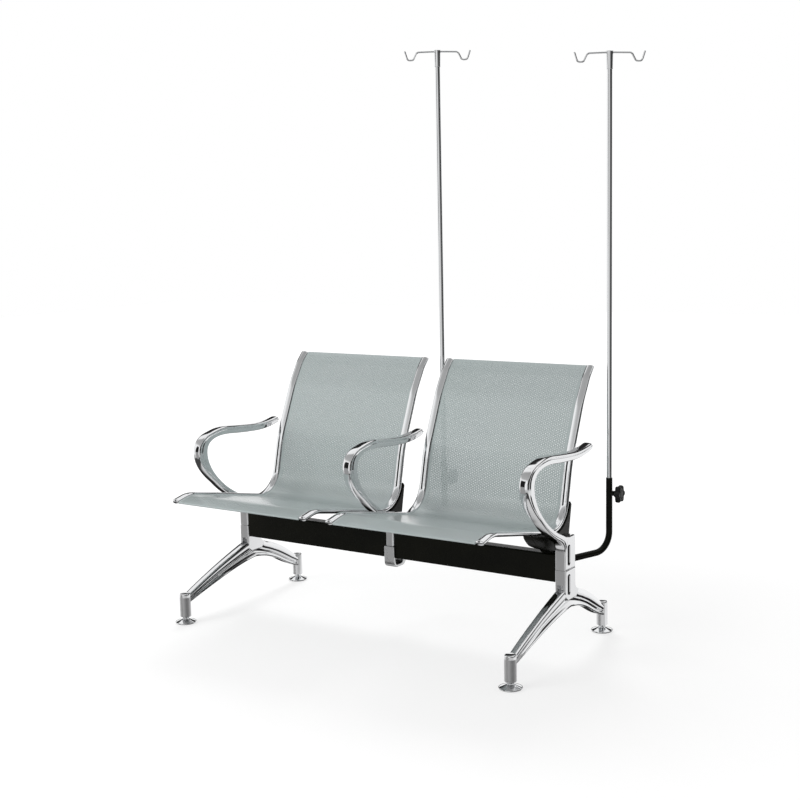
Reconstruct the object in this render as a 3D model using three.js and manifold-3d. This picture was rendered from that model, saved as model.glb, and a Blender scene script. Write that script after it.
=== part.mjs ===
// Two-place infusion bench: two perforated steel seats on one beam, three cast arm loops,
// two cast leg frames with levelling feet, and two drip poles in clamped sleeves.
// Millimetres.  +Z is up, +X runs along the beam, and the sitter faces -Y.
// The pieces are drawn with X = 0 at the middle armrest, Y = 0 at the beam's centre plane
// and Z = 0 at the floor.  The last lines move the whole bench so that its origin is the
// middle of the rectangle it stands over.

import * as THREE from 'three';
import { mergeVertices } from 'three/addons/utils/BufferGeometryUtils.js';
import Module from 'manifold-3d';

const wasm = await Module();
wasm.setup();

// ---------------------------------------------------------------- driving dimensions

const GAP = 0.3;                      // clearance between pieces that touch

const PITCH = 570;                    // armrest to armrest along the beam
const BEAM_DEPTH = 40;
const BEAM_HEIGHT = 80;
const BEAM_WALL = 2;
const BEAM_MID_Z = 251;
const SEAM_Z = 248;                   // where an upper and a lower casting meet

const COLUMN_WIDTH = 34;              // along X
const COLUMN_FRONT_Y = -24;
const COLUMN_REAR_Y = 38;
const COLUMN_TOP_Z = 342;
const COLUMN_END_WALL = 8;            // the closed outer wall past the beam's end
const MIDDLE_COLUMN_WIDTH = 28;
const ARM_WIDTH = 30;                 // armrest loops, along X
const LEG_ARM_WIDTH = 28;

const FOOT_FRONT_Y = -313;
const FOOT_REAR_Y = 247;
const POST_RADIUS = 16.5;
const POST_BOTTOM_Z = 21;
const POST_TOP_Z = 94;
const POST_HOLE_TOP_Z = 66;           // blind bore for a foot's stem
const LEG_ARM_END_Z = 90;             // top of a leg arm where it meets its post
const FOOT_DISC_RADIUS = 32.5;
const FOOT_STEM_RADIUS = 5;
const FOOT_STEM_TOP_Z = 54;
const FOOT_PAD_HEIGHT = 2;
const FOOT_PAD_RADIUS = 27;

const RAIL_SPACING = 478;             // centre to centre of one seat's two rails
const RAIL_WIDTH = 26;                // flat-oval tube, along X
const RAIL_HEIGHT = 15;
const RAIL_WALL = 1.5;
const SHEET = 2;                      // seat sheet
const FRONT_ROLL_RADIUS = 3;          // rolled front hem of the sheet

const BRACKET_WIDTH = 30;
const BRACKET_WALL = 3;

const SLEEVE_RADIUS = 9.5;
const SLEEVE_BORE_RADIUS = 8.5;
const SLEEVE_TOP_Z = 457;
const SLEEVE_LOW_Z = 240;             // the sleeve tube's level stretch behind the beam
const SLEEVE_BEND_RADIUS = 55;
const POLE_Y = 284;
const POLE_FROM_ARM_X = 6;            // a pole stands this far past its armrest
const SLEEVE_ROOT_FROM_ARM_X = -83;   // and its sleeve tube leaves the beam here
const POLE_RADIUS = 8;
const POLE_WALL = 1.2;
const POLE_LENGTH = 1340;
const POLE_BOTTOM_Z = [373, 323];     // left pole raised, right pole lower

const HOOK_WIRE_RADIUS = 2.6;
const HOOK_BAR_HALF = 62;             // straight middle of the crossbar, each side
const HOOK_DIP = 23;
const HOOK_DIP_FROM_CENTRE = 83;
const HOOK_TIP_FROM_CENTRE = 100;
const HOOK_TURN = THREE.MathUtils.degToRad(34);
const KNOB_DROP = 46;                 // knob axis below the sleeve's top
const KNOB_RADIUS = 27;
const KNOB_LOBES = 6;

// ---------------------------------------------------------------- derived dimensions

const BEAM_BOTTOM_Z = BEAM_MID_Z - BEAM_HEIGHT / 2;
const BEAM_TOP_Z = BEAM_MID_Z + BEAM_HEIGHT / 2;
const COLUMN_HALF = COLUMN_WIDTH / 2;
const BEAM_HALF_LENGTH = PITCH + COLUMN_HALF - COLUMN_END_WALL;
const SEAT_MID_X = PITCH / 2;

// ---------------------------------------------------------------- materials

function finish(color, roughness, metalness) {
  return new THREE.MeshStandardMaterial({ color, roughness, metalness });
}

const chrome = finish(0xe4e6e8, 0.08, 1);
const casting = finish(0xc9ccce, 0.18, 1);
const blackPaint = finish(0x16160f, 0.4, 0);
const seatPaint = finish(0xaab4b5, 0.32, 0.3);
const blackPlastic = finish(0x101010, 0.45, 0);
const greyPlastic = finish(0x3a3b3c, 0.6, 0);
const blackRubber = finish(0x1a1a1a, 0.8, 0);
const zincSteel = finish(0xb8bbbd, 0.3, 1);

// ---------------------------------------------------------------- solids

// A closed mesh as a solid, with its faces turned outwards.
function toSolid(geometry) {
  const bare = geometry.clone();
  bare.deleteAttribute('normal');
  bare.deleteAttribute('uv');
  const merged = mergeVertices(bare, 1e-4);
  const corners = merged.index.array;
  const place = merged.attributes.position;
  const triangles = [];
  const a = new THREE.Vector3();
  const b = new THREE.Vector3();
  const c = new THREE.Vector3();
  let volume = 0;
  for (let i = 0; i < corners.length; i += 3) {
    const [p, q, r] = [corners[i], corners[i + 1], corners[i + 2]];
    if (p === q || q === r || r === p) continue;
    triangles.push(p, q, r);
    a.fromBufferAttribute(place, p);
    b.fromBufferAttribute(place, q);
    c.fromBufferAttribute(place, r);
    volume += a.dot(b.cross(c));
  }
  if (volume < 0) triangles.reverse();
  return new wasm.Manifold(new wasm.Mesh({
    numProp: 3,
    vertProperties: new Float32Array(place.array),
    triVerts: new Uint32Array(triangles),
  }));
}

function toGeometry(solid) {
  const mesh = solid.getMesh();
  const geometry = new THREE.BufferGeometry();
  geometry.setAttribute('position', new THREE.BufferAttribute(mesh.vertProperties, 3));
  geometry.setIndex(new THREE.BufferAttribute(mesh.triVerts, 1));
  geometry.computeVertexNormals();
  return geometry;
}

function block(x0, x1, y0, y1, z0, z1) {
  const geometry = new THREE.BoxGeometry(x1 - x0, y1 - y0, z1 - z0);
  geometry.translate((x0 + x1) / 2, (y0 + y1) / 2, (z0 + z1) / 2);
  return toSolid(geometry);
}

// A round bar from one point to another.
function bar(from, to, radius, sides = 8) {
  const start = new THREE.Vector3(...from);
  const end = new THREE.Vector3(...to);
  const length = start.distanceTo(end);
  const geometry = new THREE.CylinderGeometry(radius, radius, length, sides);
  const along = end.clone().sub(start).normalize();
  const turn = new THREE.Quaternion().setFromUnitVectors(new THREE.Vector3(0, 1, 0), along);
  geometry.applyQuaternion(turn);
  const middle = start.add(end).multiplyScalar(0.5);
  geometry.translate(middle.x, middle.y, middle.z);
  return toSolid(geometry);
}

// A turned piece: the profile's points are [radius, height], from axis to axis.
function turned(profile, sides) {
  const points = profile.map(([radius, height]) => new THREE.Vector2(radius, height));
  const geometry = new THREE.LatheGeometry(points, sides);
  geometry.rotateX(Math.PI / 2);
  return toSolid(geometry);
}

// A side outline drawn in (Y, Z) and given a width along X, with bevelled long edges.
function sidePlate(outline, x0, x1, bevel = 0) {
  const geometry = new THREE.ExtrudeGeometry(outline, {
    depth: x1 - x0 - 2 * bevel,
    bevelEnabled: bevel > 0,
    bevelThickness: bevel,
    bevelSize: bevel,
    bevelOffset: -bevel,
    bevelSegments: 1,
    curveSegments: 4,
  });
  const yzx = new THREE.Matrix4().makeBasis(
    new THREE.Vector3(0, 1, 0),
    new THREE.Vector3(0, 0, 1),
    new THREE.Vector3(1, 0, 0),
  );
  geometry.applyMatrix4(yzx);
  geometry.translate(x0 + bevel, 0, 0);
  return toSolid(geometry);
}

function ring(outerX, outerY, innerX, innerY) {
  const shape = new THREE.Shape();
  shape.absellipse(0, 0, outerX, outerY, 0, 2 * Math.PI);
  const hole = new THREE.Path();
  hole.absellipse(0, 0, innerX, innerY, 0, 2 * Math.PI);
  if (innerX > 0) shape.holes.push(hole);
  return shape;
}

// A route of straight stretches with rounded corners.  A corner is [x, y, z, bend radius].
// Its stations are the two ends and a few points on each bend, with the exact tangents.
class RoundedRoute extends THREE.Curve {
  constructor(corners, degreesPerStep = 15) {
    super();
    this.stations = [];
    this.bends = [];
    const spots = corners.map(([x, y, z]) => new THREE.Vector3(x, y, z));
    const heading = (i) => spots[i + 1].clone().sub(spots[i]).normalize();
    this.stations.push({ point: spots[0], tangent: heading(0) });
    for (let i = 1; i < spots.length - 1; i += 1) {
      const arriving = heading(i - 1);
      const leaving = heading(i);
      const axis = arriving.clone().cross(leaving).normalize();
      const angle = arriving.angleTo(leaving);
      const radius = corners[i][3];
      const setback = radius * Math.tan(angle / 2);
      const start = spots[i].clone().addScaledVector(arriving, -setback);
      const outward = axis.clone().cross(arriving).multiplyScalar(-radius);
      const centre = start.clone().sub(outward);
      const steps = Math.ceil(THREE.MathUtils.radToDeg(angle) / degreesPerStep);
      const bend = [];
      for (let step = 0; step <= steps; step += 1) {
        const turn = (angle * step) / steps;
        bend.push({
          point: centre.clone().add(outward.clone().applyAxisAngle(axis, turn)),
          tangent: arriving.clone().applyAxisAngle(axis, turn),
        });
      }
      this.bends.push(bend);
      this.stations.push(...bend);
    }
    this.stations.push({ point: spots.at(-1), tangent: heading(spots.length - 2) });
    this.steps = this.stations.length - 1;
  }

  getPoint(t) {
    return this.stations[Math.round(t * this.steps)].point.clone();
  }

  getPointAt(u) {
    return this.getPoint(u);
  }

  getTangentAt(u) {
    return this.stations[Math.round(u * this.steps)].tangent.clone();
  }
}

// A section carried along a route.  The section's x stays square to the route's plane.
function sweep(section, route, curveSegments) {
  const settings = { steps: route.steps, extrudePath: route, curveSegments };
  return toSolid(new THREE.ExtrudeGeometry(section, settings));
}

function shapeThrough(points) {
  return new THREE.Shape(points.map(([y, z]) => new THREE.Vector2(y, z)));
}

const bench = new THREE.Group();

function place(name, solid, material, at = [0, 0, 0]) {
  const mesh = new THREE.Mesh(toGeometry(solid), material);
  mesh.name = name;
  mesh.position.set(...at);
  bench.add(mesh);
}

// ---------------------------------------------------------------- beam

function beam() {
  const [y, z] = [BEAM_DEPTH / 2, BEAM_HEIGHT / 2];
  const x = BEAM_HALF_LENGTH;
  const bore = block(-x - 1, x + 1, -y + BEAM_WALL, y - BEAM_WALL, -z + BEAM_WALL, z - BEAM_WALL);
  return block(-x, x, -y, y, -z, z).subtract(bore);
}

// The space that a casting leaves for the beam and its clearance.
function beamSpace(x0, x1) {
  const y = BEAM_DEPTH / 2 + GAP;
  return block(x0, x1, -y, y, BEAM_BOTTOM_Z - GAP, BEAM_TOP_Z + GAP);
}

// Screws.  A clamp bolt joins the two castings behind the beam, from below.  A beam screw
// goes up into the beam's bottom wall, and a bracket screw down into its top wall.
const CLAMP_BOLT_RADIUS = 3.6;
const CLAMP_BOLT_Y = 29;
const CLAMP_BOLT_LENGTH = 105;
const SCREW_HEAD_RADIUS = 6.5;
const SCREW_HEAD_HEIGHT = 6;
const BEAM_SCREW_Y = -12;
const BEAM_SCREW_LENGTH = 22;

function capScrew(radius, length) {
  return turned([
    [0, 0],
    [SCREW_HEAD_RADIUS, 0],
    [SCREW_HEAD_RADIUS, SCREW_HEAD_HEIGHT],
    [radius, SCREW_HEAD_HEIGHT],
    [radius, SCREW_HEAD_HEIGHT + length],
    [0, SCREW_HEAD_HEIGHT + length],
  ], 6);
}

// A clearance hole for a cap screw standing head down at (x, y) with its head's foot at z.
function screwHole(x, y, z, radius, length) {
  const shank = bar([x, y, z], [x, y, z + SCREW_HEAD_HEIGHT + length + 2], radius + 2 * GAP);
  const head = bar([x, y, z - 60], [x, y, z + SCREW_HEAD_HEIGHT + GAP], SCREW_HEAD_RADIUS + 2 * GAP);
  return shank.add(head);
}

// ---------------------------------------------------------------- leg frames

const CLAMP_BOLT_FOOT_Z = 196;
const NOTCH_HALF_WIDTH = 9;
const NOTCH_BOTTOM_Z = 187;
const NOTCH_TOP_Z = 206;
const BEAM_SCREW_FOOT_Z = NOTCH_TOP_Z - GAP - SCREW_HEAD_HEIGHT;

// Side view of one leg frame: the column's lower half, the long front arm that drops to
// the front post and the arched rear arm.
function legOutline() {
  const outline = new THREE.Shape();
  outline.moveTo(COLUMN_FRONT_Y, SEAM_Z - GAP);
  outline.lineTo(COLUMN_FRONT_Y, 192);
  outline.quadraticCurveTo(-165, 151, FOOT_FRONT_Y + 12, LEG_ARM_END_Z + 2);
  outline.lineTo(FOOT_FRONT_Y, LEG_ARM_END_Z - 1);
  outline.lineTo(FOOT_FRONT_Y, 60);
  outline.quadraticCurveTo(-235, 84, -137, 109);
  outline.quadraticCurveTo(-40, 134, 12, 137);
  outline.quadraticCurveTo(85, 130, 150, 92);
  outline.quadraticCurveTo(205, 62, FOOT_REAR_Y, 50);
  outline.lineTo(FOOT_REAR_Y, LEG_ARM_END_Z - 1);
  outline.lineTo(FOOT_REAR_Y - 12, LEG_ARM_END_Z + 1);
  outline.quadraticCurveTo(150, 158, 62, 180);
  outline.quadraticCurveTo(COLUMN_REAR_Y, 188, COLUMN_REAR_Y, 206);
  outline.lineTo(COLUMN_REAR_Y, SEAM_Z - GAP);
  outline.closePath();
  return outline;
}

// Blind slots in a column's outer face.  side is +1 on the right end and -1 on the left.
const SLOT_MID_Y = -4;
const SLOT_HALF_WIDTH = 9;
const SLOT_DEPTH = 4;
const LOWER_SLOT_Z = [176, 236];
const UPPER_SLOT_Z = [260, 320];

function faceSlot(side, [z0, z1]) {
  const outer = side * (COLUMN_HALF + 1);
  const inner = side * (COLUMN_HALF - SLOT_DEPTH);
  const [x0, x1] = [Math.min(outer, inner), Math.max(outer, inner)];
  return block(x0, x1, SLOT_MID_Y - SLOT_HALF_WIDTH, SLOT_MID_Y + SLOT_HALF_WIDTH, z0, z1);
}

function socketSpace(side) {
  const reach = COLUMN_HALF - COLUMN_END_WALL + GAP;
  return side > 0 ? beamSpace(-COLUMN_HALF - 1, reach) : beamSpace(-reach, COLUMN_HALF + 1);
}

function postHole(y) {
  return bar([0, y, 0], [0, y, POST_HOLE_TOP_Z], FOOT_STEM_RADIUS + 2 * GAP);
}

function leg(side) {
  let body = sidePlate(legOutline(), -COLUMN_HALF, COLUMN_HALF, 3);
  const lowArms = block(LEG_ARM_WIDTH / 2, 2 * COLUMN_HALF, -400, 400, -1, 180);
  body = body.subtract(lowArms).subtract(lowArms.mirror([1, 0, 0]));
  for (const y of [FOOT_FRONT_Y, FOOT_REAR_Y]) {
    body = body.add(bar([0, y, POST_BOTTOM_Z], [0, y, POST_TOP_Z], POST_RADIUS, 12));
    body = body.subtract(postHole(y));
  }
  body = body.subtract(socketSpace(side));
  body = body.subtract(faceSlot(side, LOWER_SLOT_Z));
  body = body.subtract(screwHole(0, CLAMP_BOLT_Y, CLAMP_BOLT_FOOT_Z, CLAMP_BOLT_RADIUS, CLAMP_BOLT_LENGTH));
  const notchRearY = BEAM_SCREW_Y + SCREW_HEAD_RADIUS + 2;
  const notch = block(
    -NOTCH_HALF_WIDTH, NOTCH_HALF_WIDTH, COLUMN_FRONT_Y - 20, notchRearY, NOTCH_BOTTOM_Z, NOTCH_TOP_Z,
  );
  const screwWay = bar(
    [0, BEAM_SCREW_Y, NOTCH_TOP_Z - 1], [0, BEAM_SCREW_Y, SEAM_Z], CLAMP_BOLT_RADIUS + 2 * GAP,
  );
  return body.subtract(notch).subtract(screwWay);
}

// ---------------------------------------------------------------- armrests

// Side view of one armrest: the column's upper half, the loop that swings forward and up
// to the nose, and the nearly level rest that ends free at the back.
function armOutline() {
  const outline = new THREE.Shape();
  outline.moveTo(COLUMN_FRONT_Y, SEAM_Z + 20);
  outline.lineTo(COLUMN_FRONT_Y, 300);
  outline.quadraticCurveTo(-26, 326, -70, 346);
  outline.quadraticCurveTo(-125, 375, -165, 414);
  outline.quadraticCurveTo(-236, 470, -236, 516);
  outline.quadraticCurveTo(-236, 566, -172, 577);
  outline.quadraticCurveTo(-128, 588, -98, 585.5);
  outline.quadraticCurveTo(-30, 578, 35, 573.5);
  outline.quadraticCurveTo(90, 571, 148, 582);
  outline.quadraticCurveTo(158, 584, 158, 575);
  outline.quadraticCurveTo(158, 566, 146, 563);
  outline.quadraticCurveTo(95, 549, 35, 551.5);
  outline.quadraticCurveTo(-30, 554, -92, 560.5);
  outline.quadraticCurveTo(-199, 568, -199, 516);
  outline.quadraticCurveTo(-199, 468, -138, 414);
  outline.quadraticCurveTo(-92, 373, -30, 350);
  outline.quadraticCurveTo(-18, COLUMN_TOP_Z, -5, COLUMN_TOP_Z);
  outline.lineTo(20, COLUMN_TOP_Z);
  outline.lineTo(20, SEAM_Z + 20);
  outline.closePath();
  return outline;
}

function columnOutline(z0, z1) {
  return shapeThrough([
    [COLUMN_FRONT_Y, z0],
    [COLUMN_REAR_Y, z0],
    [COLUMN_REAR_Y, z1],
    [COLUMN_FRONT_Y, z1],
  ]);
}

// side is +1 or -1 on an end armrest, whose socket is closed outwards, and 0 on the
// middle one, which the beam runs through.
function armrest(side) {
  const half = side === 0 ? MIDDLE_COLUMN_WIDTH / 2 : COLUMN_HALF;
  const loop = sidePlate(armOutline(), -ARM_WIDTH / 2, ARM_WIDTH / 2, 3);
  let body = loop.add(sidePlate(columnOutline(SEAM_Z + GAP, COLUMN_TOP_Z), -half, half, 3));
  body = body.subtract(side === 0 ? beamSpace(-ARM_WIDTH, ARM_WIDTH) : socketSpace(side));
  if (side !== 0) body = body.subtract(faceSlot(side, UPPER_SLOT_Z));
  return body.subtract(
    screwHole(0, CLAMP_BOLT_Y, CLAMP_BOLT_FOOT_Z, CLAMP_BOLT_RADIUS, CLAMP_BOLT_LENGTH),
  );
}

// The strap that closes the middle armrest round the beam from below.
const STRAP_FRONT_Y = -28;
const STRAP_BOTTOM_Z = 183;
const STRAP_THICKNESS = 7;

function middleStrap() {
  const inner = BEAM_DEPTH / 2 + GAP;
  const floor = STRAP_BOTTOM_Z + STRAP_THICKNESS;
  const outline = new THREE.Shape();
  outline.moveTo(STRAP_FRONT_Y, SEAM_Z - GAP);
  outline.lineTo(STRAP_FRONT_Y, 204);
  outline.quadraticCurveTo(STRAP_FRONT_Y, STRAP_BOTTOM_Z, -8, STRAP_BOTTOM_Z);
  outline.lineTo(20, STRAP_BOTTOM_Z);
  outline.quadraticCurveTo(COLUMN_REAR_Y, STRAP_BOTTOM_Z + 2, COLUMN_REAR_Y, 204);
  outline.lineTo(COLUMN_REAR_Y, SEAM_Z - GAP);
  outline.lineTo(inner, SEAM_Z - GAP);
  outline.lineTo(inner, 206);
  outline.quadraticCurveTo(inner, floor, 8, floor);
  outline.lineTo(-8, floor);
  outline.quadraticCurveTo(-inner, floor, -inner, 206);
  outline.lineTo(-inner, SEAM_Z - GAP);
  outline.closePath();
  const width = COLUMN_WIDTH + 2;
  return sidePlate(outline, -width / 2, width / 2).subtract(
    screwHole(0, CLAMP_BOLT_Y, CLAMP_BOLT_FOOT_Z, CLAMP_BOLT_RADIUS, CLAMP_BOLT_LENGTH),
  );
}

// ---------------------------------------------------------------- seats

// Side view of the seat's middle surface, front edge to top edge: [Y, Z, bend radius].
const SEAT_CORNERS = [
  [-387, 400, 0],
  [-330, 412, 110],
  [77, 331, 92],
  [122, 524, 320],
  [196, 690, 240],
  [238, 757, 90],
  [268, 787, 0],
];

function seatRoute(x) {
  return new RoundedRoute(SEAT_CORNERS.map(([y, z, radius]) => [x, y, z, radius]));
}

// Stations of the seat moved square to the surface, upwards and forwards if positive.
function shifted(stations, distance) {
  return stations.map(({ point, tangent }) => [
    point.y - distance * tangent.z,
    point.z + distance * tangent.y,
  ]);
}

function seatPanel() {
  const { stations } = seatRoute(0);
  const upper = shifted(stations, SHEET / 2);
  const lower = shifted(stations, -SHEET / 2).reverse();
  const half = (RAIL_SPACING - RAIL_WIDTH) / 2 - GAP;
  const sheet = sidePlate(shapeThrough([...upper, ...lower]), -half, half);
  const [frontY, frontZ] = SEAT_CORNERS[0];
  const roll = [frontY + FRONT_ROLL_RADIUS, frontZ - FRONT_ROLL_RADIUS + SHEET / 2];
  return sheet.add(bar([-half, ...roll], [half, ...roll], FRONT_ROLL_RADIUS, 10));
}

// A flat-oval tube with a plate welded in each end and a drain hole underneath.
const RAIL_END_PLATE = 3;
const DRAIN_HOLE_Y = -300;
const DRAIN_HOLE_RADIUS = 2.5;

function seatRail() {
  const route = seatRoute(0);
  const outer = [RAIL_WIDTH / 2, RAIL_HEIGHT / 2];
  const tube = sweep(ring(...outer, outer[0] - RAIL_WALL, outer[1] - RAIL_WALL), route, 4);
  const drain = bar([0, DRAIN_HOLE_Y, 380], [0, DRAIN_HOLE_Y, 403], DRAIN_HOLE_RADIUS);
  let rail = tube;
  for (const end of [route.stations[0], route.stations.at(-1)]) {
    const settings = { depth: RAIL_END_PLATE, curveSegments: 4 };
    const plate = new THREE.ExtrudeGeometry(ring(...outer, 0, 0), settings);
    plate.translate(0, 0, -RAIL_END_PLATE / 2);
    const frame = new THREE.Matrix4().makeBasis(
      new THREE.Vector3(1, 0, 0),
      end.tangent.clone().cross(new THREE.Vector3(1, 0, 0)),
      end.tangent,
    );
    plate.applyMatrix4(frame);
    plate.translate(0, end.point.y, end.point.z);
    rail = rail.add(toSolid(plate));
  }
  return rail.subtract(drain);
}

// The pressed channel under each rail: its top follows the rail round the bend behind the
// back, its foot is screwed to the beam, and its rear is open.
const BRACKET_FOOT_Z = BEAM_TOP_Z + GAP;
const BRACKET_SCREW_LENGTH = 18;

function bracketOutline(inset) {
  const drop = RAIL_HEIGHT / 2 + GAP + inset;
  const [, mainBend] = seatRoute(0).bends;
  const underRail = shifted(mainBend, -drop);
  const panSlope = Math.tan(mainBend[0].tangent.angleTo(new THREE.Vector3(0, 1, 0)));
  const frontY = -128 + inset;
  const frontZ = underRail[0][1] + (underRail[0][0] - frontY) * panSlope;
  const rear = inset > 0 ? 30 : 0;
  const footZ = BRACKET_FOOT_Z + 1.8 * inset;
  return shapeThrough([
    [frontY, frontZ],
    [frontY + 5, 353 + inset],
    [-105, 340 + inset],
    [-90 + inset, 324 + inset],
    [-26 + inset, 300 + inset],
    [-19 + inset, footZ],
    [30, footZ],
    [94 + rear, 322 + inset],
    [112 + rear, 408],
    ...underRail.reverse(),
  ]);
}

function seatBracket() {
  const half = BRACKET_WIDTH / 2;
  const outer = sidePlate(bracketOutline(0), -half, half);
  const hollow = sidePlate(bracketOutline(BRACKET_WALL), -half + BRACKET_WALL, half - BRACKET_WALL);
  const screwWay = bar([0, 0, BRACKET_FOOT_Z - 1], [0, 0, BRACKET_FOOT_Z + 8], CLAMP_BOLT_RADIUS + 2 * GAP);
  return outer.subtract(hollow).subtract(screwWay);
}

// ---------------------------------------------------------------- levelling feet

function footPad() {
  return turned([
    [0, 0],
    [FOOT_PAD_RADIUS, 0],
    [FOOT_PAD_RADIUS, FOOT_PAD_HEIGHT],
    [0, FOOT_PAD_HEIGHT],
  ], 16);
}

function levellingFoot() {
  const z = FOOT_PAD_HEIGHT + GAP;
  return turned([
    [0, z],
    [FOOT_DISC_RADIUS, z],
    [FOOT_DISC_RADIUS, z + 2.8],
    [13, z + 10],
    [10, z + 11],
    [10, z + 14],
    [FOOT_STEM_RADIUS, z + 14],
    [FOOT_STEM_RADIUS, FOOT_STEM_TOP_Z],
    [0, FOOT_STEM_TOP_Z],
  ], 12);
}

// ---------------------------------------------------------------- drip poles

const FLANGE_HALF_WIDTH = 20;
const FLANGE_HALF_HEIGHT = 36;
const FLANGE_THICKNESS = 5;
const FLANGE_SCREW_Z = [BEAM_MID_Z - 30, BEAM_MID_Z + 26];
const FLANGE_SCREW_LENGTH = 22;
const FLANGE_REAR_Y = BEAM_DEPTH / 2 + GAP + FLANGE_THICKNESS;
const KNOB_Z = SLEEVE_TOP_Z - KNOB_DROP;
const NUT_RADIUS = 8;
const NUT_END = 17;
const CLAMP_SCREW_RADIUS = 3.7;
const CLAMP_PAD_END = 12;

// Drawn with the pole's axis at x = 0, y = POLE_Y.
function sleeve() {
  const rootX = SLEEVE_ROOT_FROM_ARM_X - POLE_FROM_ARM_X;
  const route = new RoundedRoute([
    [rootX, FLANGE_REAR_Y - 2, SLEEVE_LOW_Z, 0],
    [0, POLE_Y, SLEEVE_LOW_Z, SLEEVE_BEND_RADIUS],
    [0, POLE_Y, SLEEVE_TOP_Z, 0],
  ]);
  const wall = ring(SLEEVE_RADIUS, SLEEVE_RADIUS, SLEEVE_BORE_RADIUS, SLEEVE_BORE_RADIUS);
  const tube = sweep(wall, route, 6);
  const flange = block(
    rootX - FLANGE_HALF_WIDTH, rootX + FLANGE_HALF_WIDTH,
    BEAM_DEPTH / 2 + GAP, FLANGE_REAR_Y,
    BEAM_MID_Z - FLANGE_HALF_HEIGHT, BEAM_MID_Z + FLANGE_HALF_HEIGHT,
  );
  const beamSide = block(-200, 200, -10, BEAM_DEPTH / 2 + GAP, 200, 300);
  let body = tube.subtract(beamSide).add(flange);
  for (const z of FLANGE_SCREW_Z) {
    body = body.subtract(bar([rootX, 0, z], [rootX, 40, z], CLAMP_BOLT_RADIUS + 2 * GAP));
  }
  return body.subtract(bar([0, POLE_Y, KNOB_Z], [30, POLE_Y, KNOB_Z], CLAMP_SCREW_RADIUS + 2 * GAP));
}

function weldNut() {
  const nut = bar([0, POLE_Y, KNOB_Z], [NUT_END, POLE_Y, KNOB_Z], NUT_RADIUS);
  const seat = bar([0, POLE_Y, KNOB_Z - 20], [0, POLE_Y, KNOB_Z + 20], SLEEVE_RADIUS + 2 * GAP, 16);
  const thread = bar([0, POLE_Y, KNOB_Z], [NUT_END + 1, POLE_Y, KNOB_Z], CLAMP_SCREW_RADIUS + 2 * GAP);
  return nut.subtract(seat).subtract(thread);
}

function clampPad() {
  return bar([POLE_RADIUS + GAP, POLE_Y, KNOB_Z], [CLAMP_PAD_END, POLE_Y, KNOB_Z], CLAMP_SCREW_RADIUS);
}

// A lobed hand knob moulded round the clamp screw.
function knob() {
  const faceX = 41;
  const bodyX = 24;
  const chamfer = 3;
  const lobed = new THREE.Shape();
  const points = KNOB_LOBES * 4;
  for (let i = 0; i < points; i += 1) {
    const angle = (2 * Math.PI * i) / points;
    const radius = KNOB_RADIUS - 3.5 + 3.5 * Math.cos(KNOB_LOBES * angle);
    const [y, z] = [radius * Math.cos(angle), radius * Math.sin(angle)];
    if (i === 0) lobed.moveTo(y, z);
    else lobed.lineTo(y, z);
  }
  lobed.closePath();
  const grip = sidePlate(lobed, bodyX, faceX, chamfer).translate([0, POLE_Y, KNOB_Z]);
  const neck = bar([NUT_END + 1, POLE_Y, KNOB_Z], [bodyX + 1, POLE_Y, KNOB_Z], 9);
  const screw = bar([CLAMP_PAD_END + GAP, POLE_Y, KNOB_Z], [bodyX, POLE_Y, KNOB_Z], CLAMP_SCREW_RADIUS);
  return grip.add(neck).add(screw);
}

// Pole pieces, drawn from the pole's lower end at z = 0.
function pole() {
  const inner = POLE_RADIUS - POLE_WALL;
  const outer = bar([0, 0, 0], [0, 0, POLE_LENGTH], POLE_RADIUS, 12);
  return outer.subtract(bar([0, 0, -1], [0, 0, POLE_LENGTH + 1], inner, 12));
}

function polePlug() {
  return turned([
    [0, -10],
    [6.5, -10],
    [POLE_RADIUS - 0.1, -8],
    [POLE_RADIUS - 0.1, -GAP],
    [POLE_RADIUS - POLE_WALL - 2 * GAP, -GAP],
    [POLE_RADIUS - POLE_WALL - 2 * GAP, 12],
    [0, 12],
  ], 12);
}

const HOOK_BAR_Z = POLE_LENGTH + 11;
const CAP_HEIGHT = 50;
const CAP_TOP_Z = HOOK_BAR_Z + 4;

function poleCap() {
  const foot = CAP_TOP_Z - CAP_HEIGHT;
  const cone = turned([
    [0, foot],
    [POLE_RADIUS + 1.4, foot],
    [10.6, CAP_TOP_Z - 1.5],
    [9.4, CAP_TOP_Z],
    [0, CAP_TOP_Z],
  ], 12);
  const socket = bar([0, 0, foot - 1], [0, 0, POLE_LENGTH + 2 * GAP], POLE_RADIUS + 2 * GAP, 12);
  const half = HOOK_WIRE_RADIUS + GAP;
  const groove = block(-20, 20, -half, half, HOOK_BAR_Z - half, CAP_TOP_Z + 1);
  return cone.subtract(socket).subtract(groove.rotate([0, 0, THREE.MathUtils.radToDeg(HOOK_TURN)]));
}

function hookBar() {
  const side = (sign) => [
    [sign * HOOK_BAR_HALF, -1.5, 9],
    [sign * (HOOK_DIP_FROM_CENTRE - 9), -HOOK_DIP - 2, 10],
    [sign * (HOOK_DIP_FROM_CENTRE + 8), -HOOK_DIP - 2, 10],
    [sign * HOOK_TIP_FROM_CENTRE, 3, 0],
  ];
  const flat = [...side(-1).reverse(), [0, 0, 400], ...side(1)];
  const [alongX, alongY] = [Math.cos(HOOK_TURN), Math.sin(HOOK_TURN)];
  const corners = flat.map(([along, z, radius]) => [
    along * alongX,
    along * alongY,
    HOOK_BAR_Z + z,
    radius,
  ]);
  return sweep(ring(HOOK_WIRE_RADIUS, HOOK_WIRE_RADIUS, 0, 0), new RoundedRoute(corners, 20), 3);
}

// ---------------------------------------------------------------- the bench

const ENDS = { left: -1, right: 1 };

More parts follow.
